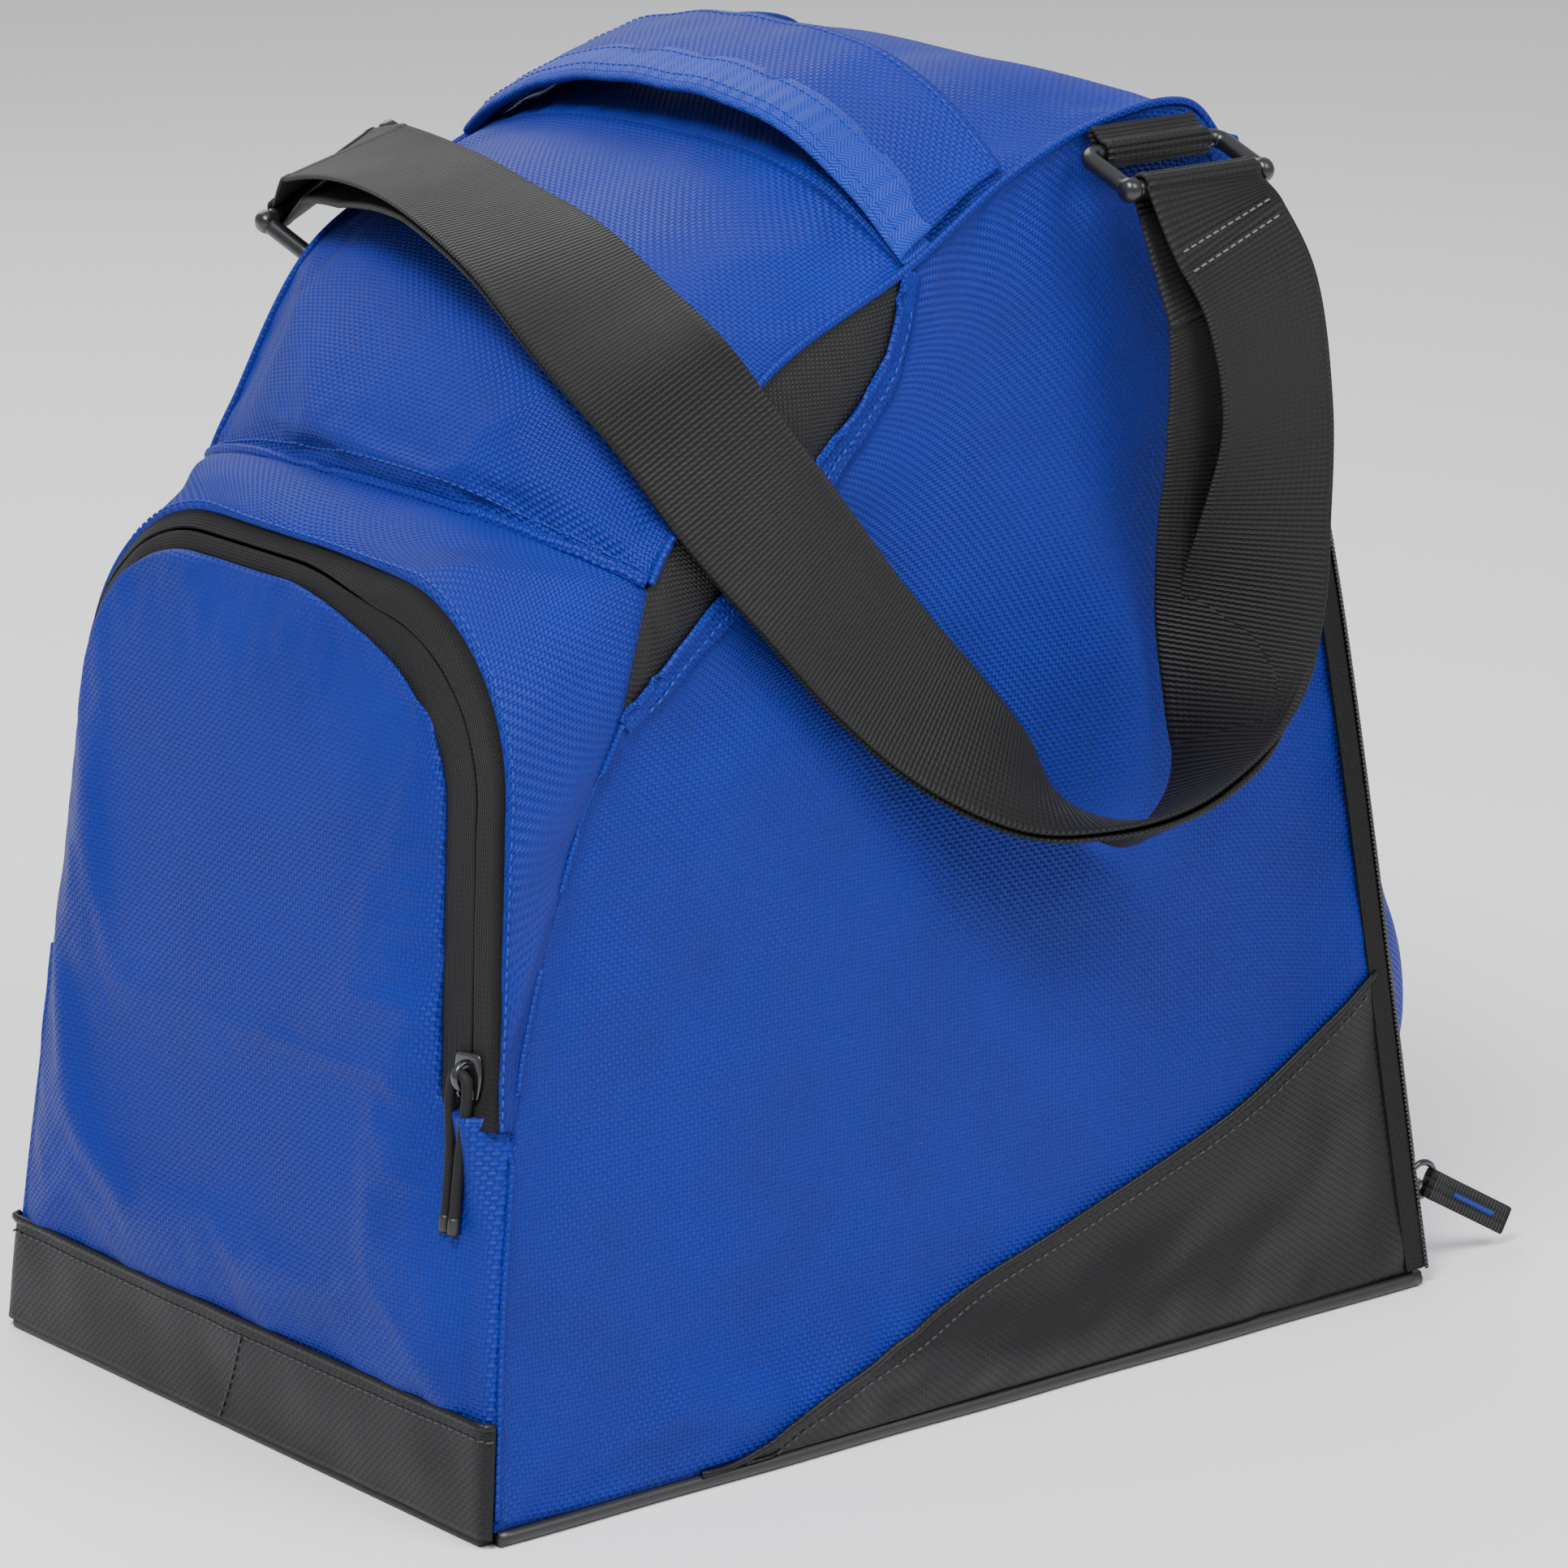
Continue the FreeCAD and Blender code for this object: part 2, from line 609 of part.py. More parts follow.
def make_strap():
    clear = 0.25
    bore = STRAP_RING_BAR + clear
    wrap = bore + WEBBING_THICK
    for name, (centre, along, across), seam in (
        ("near", NEAR_RING, NEAR_SEAM), ("far", FAR_RING, FAR_SEAM)
    ):
        along = along.normalize()
        across = square_to(across, along)
        ring = closed_loop(centre, along, across, RING_LENGTH, RING_DEPTH, RING_CORNER, STRAP_RING_BAR)
        save("strap_ring_" + name, ring)
        inner_bar = centre - across * (RING_DEPTH / 2)
        hole = rod(inner_bar - along * 30, inner_bar + along * 30, bore)
        loop = tube_around(inner_bar, along, 44.0, bore, wrap)
        tab = slab_between(seam, inner_bar, along, 44.0, 2 * WEBBING_THICK)
        save("strap_anchor_" + name, loop.fuse(tab).cut(hole))

    outer = ribbon(STRAP, 0, len(STRAP) - 1, lambda i: 0, WEBBING_THICK)
    for (centre, along, across), end in ((NEAR_RING, STRAP[-1][0]), (FAR_RING, STRAP[0][0])):
        across = square_to(across, along)
        bar = centre + across * (RING_DEPTH / 2)
        outer = outer.fuse(tube_around(bar, along, WEBBING_WIDTH, bore, wrap))
        outer = outer.fuse(slab_between(V(*end), bar, along, WEBBING_WIDTH, WEBBING_THICK))
        outer = outer.cut(rod(bar - along * 40, bar + along * 40, bore))
    save("strap_outer_layer", outer)

    inner = ribbon(STRAP, *INNER_RUN, lambda i: LAYER_GAP.get(i, 3.0), WEBBING_THICK)
    save("strap_inner_layer", inner)


def make_zip_hood():
    outline = [(120, 402), (139, 396), (147, 372), (136, 374)]
    save("zip_hood", side_plate(outline, -1, outside=1.8, thickness=1.5))


os.makedirs("parts", exist_ok=True)
make_base()
make_pocket_end()
make_upper_panels()
make_sides()
make_loading_end()
make_pocket_slider()
make_main_slider()
make_handle()
make_strap()
make_zip_hood()
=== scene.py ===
import math

import bpy
import numpy as np
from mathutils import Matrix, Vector
from mathutils.bvhtree import BVHTree


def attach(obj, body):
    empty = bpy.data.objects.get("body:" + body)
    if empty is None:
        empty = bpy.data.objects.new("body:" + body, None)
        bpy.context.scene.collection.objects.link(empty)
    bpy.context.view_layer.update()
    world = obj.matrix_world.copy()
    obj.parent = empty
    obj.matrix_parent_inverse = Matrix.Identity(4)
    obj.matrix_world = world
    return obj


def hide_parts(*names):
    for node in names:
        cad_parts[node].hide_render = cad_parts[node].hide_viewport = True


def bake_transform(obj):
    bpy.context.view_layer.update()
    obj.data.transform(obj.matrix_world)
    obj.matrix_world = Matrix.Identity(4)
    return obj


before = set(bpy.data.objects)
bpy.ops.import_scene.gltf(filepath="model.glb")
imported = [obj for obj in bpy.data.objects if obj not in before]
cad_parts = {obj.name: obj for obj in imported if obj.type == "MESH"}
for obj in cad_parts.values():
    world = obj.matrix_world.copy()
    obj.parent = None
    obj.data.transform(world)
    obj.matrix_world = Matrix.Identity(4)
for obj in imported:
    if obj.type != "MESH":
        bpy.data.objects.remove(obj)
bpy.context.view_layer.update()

for left_over in [bpy.data.objects.get(name) for name in ("Cube", "Light", "Camera")]:
    if left_over:
        bpy.data.objects.remove(left_over)

# Soft ski boot bag, drawn in millimetres in the row frame and scaled to metres at the end.
MM = 0.001

# ---- dimensions shared with the CAD ----
WIDTH = 268.0
LENGTH = 400.0
LEAN = {-1: 0.105, 1: 0.05}
FRONT_LEAN = 0.114
STRIP_HEIGHT = 36.0
HINGE_Z = 132.0
POCKET_TOP = 283.0
POCKET_CORNER = 65.0
YOKE_RUN = 68.0
YOKE_RISE = 34.0
YOKE_SQUARING = 31.0
LOAD_CORNER = 34.0
LOAD_LINE = [(200, 3), (172, 265), (135, 393)]
CROWN_POWER = 3.2
WEBBING_WIDTH = 48.0
WEBBING_THICK = 1.6
WALL = 3.0
TAPE_HALF = 14.0
ZIP_SLOT = 0.5
ZIP_FOOT = HINGE_Z - 4
LOAD_ROLL = 5.0          # radius of the corner that the loading zip lies on
ZIP_MARGIN = 7.0         # from a side wall's edge to the loading zip
BAND_WIDTH = 46
POCKET_SEAM = [(-196.6, 3), (-189.5, 60), (-184, 95), (-173, 150), (-149, 209), (-126, 245)]
VENT_REAR = {
    -1: [(-126, 245), (-82, 279), (-41, 314), (-13, 341)],
    1: [(-126, 245), (-88, 282), (-52, 320), (-28, 351)],
}
GUARD_LINE = [(-116, 5), (-96, 7), (-60, 22), (4, 43), (70, 62), (139, 85), (188.5, 111)]
# near seam, middle, far seam, from the pocket's seam to the loading end
STATIONS = np.array([
    [(-111, 286), (-136, 302), (-120, 289)],
    [(-101, 299), (-128, 330), (-111, 305)],
    [(-62, 342), (-88, 372), (-78, 356)],
    [(-2, 369), (-18, 402), (-18, 384)],
    [(40, 392), (32, 416), (30, 404)],
    [(80, 406), (75, 421), (78, 413)],
    [(118, 409), (115, 412), (118, 410)],
    [(135, 393), (138, 397), (135, 393)],
], float)
# middle of the strap and the way across it, from the far ring to the near one
STRAP = [
    ((-61, 138, 381), (-0.92, 0.05, -0.39)), ((-70, 96, 386), (-0.97, 0.16, -0.20)),
    ((-80, 56, 388), (-0.98, 0.18, -0.10)), ((-90, 15, 386), (-0.98, 0.17, -0.08)),
    ((-98, -30, 378), (-0.96, 0.18, -0.22)), ((-100, -64, 362), (-0.89, 0.23, -0.40)),
    ((-98, -98, 342), (-0.75, 0.33, -0.58)), ((-83, -113, 313), (-0.73, 0.28, -0.62)),
    ((-59, -118, 283), (-0.76, 0.04, -0.65)), ((-34, -118, 255), (-0.73, -0.10, -0.68)),
    ((-8, -122, 229), (-0.70, -0.30, -0.65)), ((16, -132, 208), (-0.63, -0.65, -0.42)),
    ((36, -141, 195), (-0.38, -0.92, 0.08)), ((60, -148, 190), (-0.18, -0.88, 0.43)),
    ((83, -147, 201), (-0.07, -0.92, 0.38)), ((98, -141, 219), (0.25, -0.96, 0.12)),
    ((109, -136, 245), (0.70, -0.70, -0.10)), ((114, -138, 277), (0.95, -0.27, -0.11)),
    ((117, -140, 314), (1, 0, 0)), ((112, -137, 352), (0.98, 0, 0.2)), ((100, -129.5, 380), (0.97, 0, 0.22)),
]
# a ring's middle, the ways along and across its bars, and the seam of its tab
RINGS = {
    "near": ((97, -110.5, 394), (1, 0, 0), (0, -0.94, -0.342), (97, -95.5, 403.5)),
    "far": ((-52, 132.5, 366), (0.90, 0, 0.436), (-0.21, 0.875, 0.434), (-46, 123.5, 354.5)),
}
RING_DEPTH = 23.0
WRAP_RADIUS = 4.2        # middle of the webbing round a ring's bar
HOOD = [(136, 374), (120, 402), (139, 396), (147, 372)]

# ---- sides, and how finely things are drawn ----
SIDES = {-1: "near", 1: "far"}
SIDE_COLUMN = {-1: 0, 1: 2}       # of the stations
SIDE_BELLY = {-1: 6.5, 1: 5.0}
BAG_MIDDLE = np.array([0.0, 0.0, 190.0])
LEG_STEPS, BEND_STEPS, TOP_STEPS = 34, 20, 28
ARCH_COUNT = 2 * (LEG_STEPS + BEND_STEPS) + TOP_STEPS
WRAP_STEPS = 14
SETTLE_FRAMES = 16


# ---- small mathematics ----
def unit(v):
    v = np.asarray(v, float)
    return v / np.maximum(np.linalg.norm(v, axis=-1, keepdims=True), 1e-9)


def square_to(direction, axis):
    """The unit direction with its share along the axis taken out."""
    direction = np.asarray(direction, float)
    return unit(direction - axis * np.sum(direction * axis, axis=-1, keepdims=True))


def half_width(z, sign):
    return WIDTH / 2 - np.where(np.asarray(sign) < 0, LEAN[-1], LEAN[1]) * z


def front_x(z):
    return -LENGTH / 2 + FRONT_LEAN * z


def run_along(points):
    """Distance along a polyline from its start to each of its points."""
    return np.concatenate([[0], np.cumsum(np.linalg.norm(np.diff(points, axis=0), axis=1))])


def sampled(values, run, at):
    """The rows of values at distances along a line whose points lie at the distances run."""
    return np.stack([np.interp(at, run, values[:, k]) for k in range(values.shape[1])], axis=1)


def spread(points, count):
    """Evenly spaced points along a polyline."""
    points = np.asarray(points, float)
    run = run_along(points)
    return sampled(points, run, np.linspace(0, run[-1], count))


def smooth_line(points, count, even=True):
    """A smooth line through the points; even spacing, or the same number for each span."""
    p = np.asarray(points, float)
    ends = np.concatenate([[2 * p[0] - p[1]], p, [2 * p[-1] - p[-2]]])
    spans = len(p) - 1
    at = np.linspace(0, spans, 24 * spans + 1 if even else count)
    i = np.minimum(at.astype(int), spans - 1)
    u = (at - i).reshape((-1,) + (1,) * (p.ndim - 1))
    a, b, c, d = ends[i], ends[i + 1], ends[i + 2], ends[i + 3]
    line = 0.5 * (2 * b + (c - a) * u + (2 * a - 5 * b + 4 * c - d) * u**2 + (3 * b - a - 3 * c + d) * u**3)
    return spread(line, count) if even else line


def noise(u, v, size, seed):
    """Smooth seeded noise of about unit height over coordinates in millimetres."""
    dice = np.random.default_rng(seed)
    total = 0.0
    for _ in range(9):
        angle, phase = dice.uniform(0, 2 * math.pi, 2)
        k = 2 * math.pi / (size * dice.uniform(0.7, 1.7))
        total = total + np.sin((u * math.cos(angle) + v * math.sin(angle)) * k + phase)
    return total / 4


def risen(distance, reach):
    """Climbs from 0 at a seam to 1 well inside the cloth."""
    return 1 - np.exp(-distance / reach)


def bell(value, middle, width):
    return np.exp(-(((value - middle) / width) ** 2))


def outward_normals(grid):
    """Unit normals of a grid, on its side away from the middle of the bag."""
    facing = unit(np.cross(np.gradient(grid, axis=1), np.gradient(grid, axis=0)))
    return facing if float(np.sum(facing * (grid - BAG_MIDDLE))) > 0 else -facing


def skin_distance(grid):
    """Coordinates along the cloth of each grid point, from the middle of the sheet."""
    du = np.linalg.norm(np.diff(grid, axis=1), axis=2)
    dv = np.linalg.norm(np.diff(grid, axis=0), axis=2)
    u = np.concatenate([np.zeros((grid.shape[0], 1)), np.cumsum(du, axis=1)], axis=1)
    v = np.concatenate([np.zeros((1, grid.shape[1])), np.cumsum(dv, axis=0)], axis=0)
    return u - u[:, u.shape[1] // 2, None], v - v[v.shape[0] // 2]


def coons(left, right, bottom, top):
    """A grid filled in between four edges; left and right run up, bottom and top run across."""
    v = np.linspace(0, 1, len(left))[:, None, None]
    u = np.linspace(0, 1, len(bottom))[None, :, None]
    sides = (1 - u) * left[:, None] + u * right[:, None]
    ends = (1 - v) * bottom[None] + v * top[None]
    low_corners = (1 - u) * (1 - v) * bottom[0] + u * (1 - v) * bottom[-1]
    corners = low_corners + (1 - u) * v * top[0] + u * v * top[-1]
    return sides + ends - corners


def between(first, second, rows):
    """A grid of rows from one line to another."""
    share = np.linspace(0, 1, rows)[:, None, None]
    return first[None] * (1 - share) + second[None] * share


# ---- materials ----
class Shader:
    """A procedural material whose texture coordinates are millimetres of cloth."""

    def __init__(self, name, rough, sheen=0.0, spec=0.5, coat=0.0):
        self.material = bpy.data.materials.new(name)
        self.material.use_nodes = True
        self.tree = self.material.node_tree
        self.bsdf = self.tree.nodes["Principled BSDF"]
        for key, value in (
            ("Roughness", rough), ("Sheen Weight", sheen), ("Sheen Roughness", 0.4),
            ("Specular IOR Level", spec), ("Coat Weight", coat), ("Coat Roughness", 0.25),
        ):
            self.bsdf.inputs[key].default_value = value
        place = self.tree.nodes.new("ShaderNodeUVMap")
        place.uv_map = "cloth"
        self.place = place.outputs[0]
        split = self.tree.nodes.new("ShaderNodeSeparateXYZ")
        self.tree.links.new(self.place, split.inputs[0])
        self.u, self.v = split.outputs[0], split.outputs[1]

    def math(self, operation, a, b=0.0, c=0.0):
        node = self.tree.nodes.new("ShaderNodeMath")
        node.operation = operation
        for socket, value in zip(node.inputs, (a, b, c)):
            if hasattr(value, "is_linked"):
                self.tree.links.new(value, socket)
            else:
                socket.default_value = value
        return node.outputs[0]

    def wave(self, coordinate, pitch):
        """Rounded ridges, one for each pitch."""
        return self.math("ABSOLUTE", self.math("SINE", self.math("MULTIPLY", coordinate, math.pi / pitch)))

    def weave(self, pitch):
        """Threads that pass over and under each other."""
        over = self.math("FLOOR", self.math("DIVIDE", self.u, pitch))
        under = self.math("FLOOR", self.math("DIVIDE", self.v, pitch))
        odd = self.math("PINGPONG", self.math("ADD", over, under), 1.0)
        warp, weft = self.wave(self.u, pitch), self.wave(self.v, pitch)
        shown_warp = self.math("MULTIPLY", warp, odd)
        return self.math("ADD", shown_warp, self.math("MULTIPLY", weft, self.math("SUBTRACT", 1.0, odd)))

    def ribs(self, pitch, slant, zigzag):
        """Ribs across the length, slanted to and fro in stripes."""
        shift = self.math("MULTIPLY", self.math("PINGPONG", self.u, zigzag), slant)
        return self.wave(self.math("ADD", self.v, shift), pitch)

    def noise(self, size, detail=3.0):
        node = self.tree.nodes.new("ShaderNodeTexNoise")
        node.inputs["Scale"].default_value = 1.0 / size
        node.inputs["Detail"].default_value = detail
        self.tree.links.new(self.place, node.inputs["Vector"])
        return node.outputs[0]

    def colour(self, dark, light, factor):
        node = self.tree.nodes.new("ShaderNodeMix")
        node.data_type = "RGBA"
        node.clamp_factor = True
        self.tree.links.new(factor, node.inputs[0])
        node.inputs[6].default_value = (*dark, 1.0)
        node.inputs[7].default_value = (*light, 1.0)
        self.tree.links.new(node.outputs[2], self.bsdf.inputs["Base Color"])

    def rough(self, low, high, factor):
        self.tree.links.new(self.math("MULTIPLY_ADD", factor, high - low, low), self.bsdf.inputs["Roughness"])

    def bump(self, height, depth):
        """Relief of the given depth in millimetres."""
        node = self.tree.nodes.new("ShaderNodeBump")
        node.inputs["Distance"].default_value = depth * MM
        self.tree.links.new(height, node.inputs["Height"])
        self.tree.links.new(node.outputs[0], self.bsdf.inputs["Normal"])


def cloth_material(name, dark, light, pitch, relief, rough, sheen, spec, slant=None, zigzag=1.0):
    """Plain weave, or ribs where a slant is given, a little worn in large patches; the threads' hollows are
    painted in the dark colour as shade and their crests in the light colour as a painted highlight.
    """
    shader = Shader(name, rough, sheen, spec)
    threads = shader.weave(pitch) if slant is None else shader.ribs(pitch, slant, zigzag)
    worn = shader.noise(45.0)
    fuzz = shader.noise(pitch * 1.7, 2.0)
    # colour factor: painted shade in the thread hollows and painted highlight on the thread crests, mixed
    # with random worn patches
    thread_shade_and_wear = shader.math("MULTIPLY_ADD", threads, 0.45, shader.math("MULTIPLY_ADD", worn, 0.4, 0.0))
    shader.colour(dark, light, thread_shade_and_wear)
    shader.rough(rough - 0.1, rough + 0.12, worn)
    shader.bump(shader.math("MULTIPLY_ADD", fuzz, 0.35, threads), relief)
    return shader.material


def moulded_material(name, colour, rough, coat, grain):
    shader = Shader(name, rough, 0.0, 0.5, coat)
    speck = shader.noise(grain)
    shader.colour(colour, tuple(c * 1.6 + 0.004 for c in colour), speck)
    shader.rough(rough - 0.05, rough + 0.1, speck)
    shader.bump(speck, 0.03)
    return shader.material


# dark colour, painted as shade in the threads' hollows, and light colour, painted as highlight on their
# crests; thread pitch, relief, roughness, sheen, specular, slant and width of the ribs
CLOTHS = {
    "blue_fabric": ((0.0005, 0.0042, 0.072), (0.0017, 0.019, 0.34), 1.5, 0.30, 0.55, 0.02, 0.22),
    "coated_fabric": ((0.0022, 0.0022, 0.0027), (0.0085, 0.0085, 0.0095), 1.5, 0.07, 0.42, 0.0, 0.28),
    "webbing": ((0.0006, 0.0006, 0.0008), (0.0065, 0.0065, 0.007), 1.7, 0.55, 0.62, 0.04, 0.3, 0.15, 1.2),
    "zip_tape": ((0.0008, 0.0008, 0.001), (0.006, 0.006, 0.0068), 1.1, 0.3, 0.72, 0.04, 0.25, 0.5, 0.8),
    "vent_mesh": ((0.0005, 0.0005, 0.0006), (0.006, 0.006, 0.007), 1.1, 0.2, 0.5, 0.0, 0.35),
    "twill_tape": ((0.001, 0.009, 0.11), (0.004, 0.04, 0.48), 1.5, 0.25, 0.6, 0.06, 0.3, 1.0, 3.4),
    "lining": ((0.006, 0.006, 0.007), (0.022, 0.022, 0.025), 0.9, 0.1, 0.5, 0.05, 0.3),
    "pull_cord": ((0.0015, 0.0015, 0.002), (0.014, 0.014, 0.015), 1.3, 0.5, 0.7, 0.05, 0.3, 1.0, 1.6),
    "blue_thread": ((0.001, 0.012, 0.14), (0.006, 0.05, 0.5), 0.5, 0.1, 0.5, 0.05, 0.4, 1.0, 0.5),
    "pale_thread": ((0.05, 0.05, 0.055), (0.18, 0.18, 0.19), 0.5, 0.1, 0.5, 0.05, 0.5, 1.0, 0.5),
    "grey_thread": ((0.012, 0.012, 0.014), (0.045, 0.045, 0.05), 0.5, 0.1, 0.5, 0.05, 0.5, 1.0, 0.5),
}
# colour, roughness, coat, grain
MOULDINGS = {
    "zip_coil": ((0.004, 0.004, 0.005), 0.3, 0.2, 3.0),
    "ring_plastic": ((0.004, 0.004, 0.005), 0.3, 0.2, 8.0),
    "slider_metal": ((0.004, 0.004, 0.005), 0.2, 0.6, 5.0),
    "piping": ((0.005, 0.005, 0.006), 0.45, 0.1, 6.0),
    "board": ((0.05, 0.05, 0.055), 0.7, 0.0, 12.0),
}
MATERIALS = {name: cloth_material(name, *look) for name, look in CLOTHS.items()}
MATERIALS.update({name: moulded_material(name, *look) for name, look in MOULDINGS.items()})


# ---- building pieces ----
def build(name, vertices, faces, uv, slot, body, nodes=(), inner=None):
    """A mesh piece from points in millimetres, on its body, standing for its CAD nodes."""
    mesh = bpy.data.meshes.new(name)
    mesh.from_pydata((np.asarray(vertices) * MM).tolist(), [], faces)
    layer = mesh.uv_layers.new(name="cloth")
    corner = np.empty(len(mesh.loops), int)
    mesh.loops.foreach_get("vertex_index", corner)
    layer.data.foreach_set("uv", np.asarray(uv, float)[corner].ravel())
    mesh.polygons.foreach_set("use_smooth", [True] * len(mesh.polygons))
    mesh.materials.append(MATERIALS[slot])
    if inner:
        mesh.materials.append(MATERIALS[inner])
    piece = bpy.data.objects.new(name, mesh)
    bpy.context.scene.collection.objects.link(piece)
    if nodes:
        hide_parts(*nodes)
    if body:
        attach(piece, body)
    return piece


def grid_faces(rows, columns):
    corners = [i * columns + j for i in range(rows - 1) for j in range(columns - 1)]
    return [(a, a + 1, a + 1 + columns, a + columns) for a in corners]


def cloth_piece(name, points, faces, uv, slot, body, nodes=(), outward=None, thick=WALL, inner="lining"):
    """Cloth with the given thickness behind its outside, smoothed between its points."""
    corners = points[np.array(faces)]
    facing = np.cross(corners[:, 2] - corners[:, 0], corners[:, 3] - corners[:, 1])
    away = corners.mean(axis=1) - BAG_MIDDLE if outward is None else np.asarray(outward, float)
    if float(np.sum(facing * away)) < 0:
        faces = [face[::-1] for face in faces]
    piece = build(name, points, faces, uv, slot, body, nodes, inner)
    finer = piece.modifiers.new("fine", "SUBSURF")
    finer.levels = finer.render_levels = 1
    finer.boundary_smooth = "PRESERVE_CORNERS"
    shell = piece.modifiers.new("thickness", "SOLIDIFY")
    shell.thickness = thick * MM
    shell.offset = -1.0
    shell.use_even_offset = False
    if inner:
        shell.material_offset = 1
    return piece


def panel(name, grid, slot, body, nodes=(), outward=None, thick=WALL, inner="lining"):
    """A cloth panel from a grid of points on its outside."""
    uv = np.stack(skin_distance(grid), axis=2).reshape(-1, 2)
    faces = grid_faces(*grid.shape[:2])
    return cloth_piece(name, grid.reshape(-1, 3), faces, uv, slot, body, nodes, outward, thick, inner)


def settle(points, faces, pinned, pressure, growth, cap):
    """Lets cloth that is a little too large for its frame puff and crease, held where it is sewn."""
    mesh = bpy.data.meshes.new("settling")
    mesh.from_pydata((points * MM).tolist(), [], faces)
    sheet = bpy.data.objects.new("settling", mesh)
    bpy.context.scene.collection.objects.link(sheet)
    group = sheet.vertex_groups.new(name="sewn")
    group.add([int(k) for k in np.flatnonzero(pinned)], 1.0, "REPLACE")
    modifier = sheet.modifiers.new("cloth", "CLOTH")
    setup = modifier.settings
    setup.quality = 7
    setup.mass = 0.15
    setup.air_damping = 4.0
    setup.tension_stiffness = setup.compression_stiffness = 18.0
    setup.shear_stiffness = 6.0
    setup.bending_stiffness = 0.35
    setup.tension_damping = setup.compression_damping = 12.0
    setup.vertex_group_mass = "sewn"
    setup.use_pressure = True
    setup.uniform_pressure_force = pressure
    setup.shrink_min = -growth
    setup.effector_weights.gravity = 0.12
    modifier.collision_settings.use_collision = False
    modifier.point_cache.frame_start = 1
    modifier.point_cache.frame_end = SETTLE_FRAMES
    scene = bpy.context.scene
    for number in range(1, SETTLE_FRAMES + 1):
        scene.frame_set(number)
    settled = sheet.evaluated_get(bpy.context.evaluated_depsgraph_get())
    moved = np.empty(points.size)
    settled.data.vertices.foreach_get("co", moved)
    bpy.data.objects.remove(sheet)
    scene.frame_set(1)
    shift = moved.reshape(-1, 3) / MM - points
    length = np.linalg.norm(shift, axis=1, keepdims=True)
    return points + shift * (cap * np.tanh(length / cap) / np.maximum(length, 1e-6))


def settle_grid(grid, pressure, growth, cap=4.5):
    """A grid sewn along all four of its edges."""
    pinned = np.zeros(grid.shape[:2], bool)
    pinned[:, 0] = pinned[:, -1] = pinned[0] = pinned[-1] = True
    faces = grid_faces(*grid.shape[:2])
    return settle(grid.reshape(-1, 3), faces, pinned.ravel(), pressure, growth, cap).reshape(grid.shape)


def edge_distance(grid, bottom=True):
    """How far each grid point is, along the grid, from its edges, with or without the bottom one."""
    u, v = skin_distance(grid)
    gaps = [u - u[:, :1], u[:, -1:] - u, v[-1:] - v] + ([v - v[:1]] if bottom else [])
    return np.min(gaps, axis=0)


def puffed(grid, height, reach, seed, crease):
    """The grid raised into a soft pillow, with small seeded unevenness and puckers at its seams."""
    gap = edge_distance(grid)
    u, v = skin_distance(grid)
    broad = noise(u, v, 90, seed) * 0.9 + noise(u, v, 38, seed + 1) * 0.45
    pucker = noise(u * 1.2, v * 1.2, 13, seed + 2) * np.exp(-gap / 14) * risen(gap, 3)
    rise = height * risen(gap, reach) + (broad * risen(gap, 30) + pucker * 0.8) * crease
    return grid + outward_normals(grid) * rise[..., None]


class Skin:
    """The finished outside of panels, for whatever is sewn on them."""

    def __init__(self, *pieces):
        graph = bpy.context.evaluated_depsgraph_get()
        self.trees = [BVHTree.FromObject(piece, graph) for piece in pieces]

    def onto(self, points, inward, lift=0.0):
        """Points moved along inward until they meet the outside, and the facing there."""
        points = np.asarray(points, float)
        places, facings = points.copy(), -np.broadcast_to(unit(inward), points.shape)
        for k, way in enumerate(-facings):
            start = Vector((points[k] - way * 40) * MM)
            hits = [tree.ray_cast(start, Vector(way), 0.09) for tree in self.trees]
            hits = [hit for hit in hits if hit[0] is not None]
            if hits:
                place, facing = min(hits, key=lambda hit: hit[3])[:2]
                places[k] = np.array(place) / MM
                facings[k] = np.array(facing) * (-1 if np.dot(facing, way) > 0 else 1)
        facings = unit(facings)
        return places + facings * lift, facings


def tube_faces(first, rings, count, closed=False):
    """Faces round a run of rings of points, with caps at its ends unless it is closed on itself."""
    faces = []
    for ring in range(rings if closed else rings - 1):
        here, there = first + ring * count, first + (ring + 1) % rings * count
        for j in range(count):
            after = (j + 1) % count
            faces.append((here + j, here + after, there + after, there + j))
    if not closed:
        faces.append(tuple(first + j for j in range(count))[::-1])
        faces.append(tuple(first + (rings - 1) * count + j for j in range(count)))
    return faces


def swept(name, line, outline, slot, body, nodes=(), hint=None, closed=False, taper=1.0, ways=None):
    """A section, given across and up, carried along a line with its up side towards hint.

    With ways given, its width follows them exactly, so that a band shears instead of folding.
    """
    line = np.asarray(line, float)
    tangent = unit(np.gradient(line, axis=0))
    if ways is None:
        up = square_to(np.broadcast_to(hint, line.shape), tangent)
        side = np.cross(tangent, up)
    else:
        side, up = unit(ways), unit(np.cross(ways, tangent))
    offsets = outline[None, :, 0, None] * side[:, None] + outline[None, :, 1, None] * up[:, None]
    points = line[:, None] + offsets * np.broadcast_to(taper, len(line))[:, None, None]
    uv = np.stack(np.meshgrid(run_along(outline), run_along(line)), axis=2).reshape(-1, 2)
    faces = tube_faces(0, len(line), len(outline), closed)
    return build(name, points.reshape(-1, 3), faces, uv, slot, body, nodes)


def round_section(radius, count=10, flat=1.0):
    angles = np.linspace(0, 2 * math.pi, count, endpoint=False)
    return np.stack([radius * np.cos(angles), radius * flat * np.sin(angles)], axis=1)


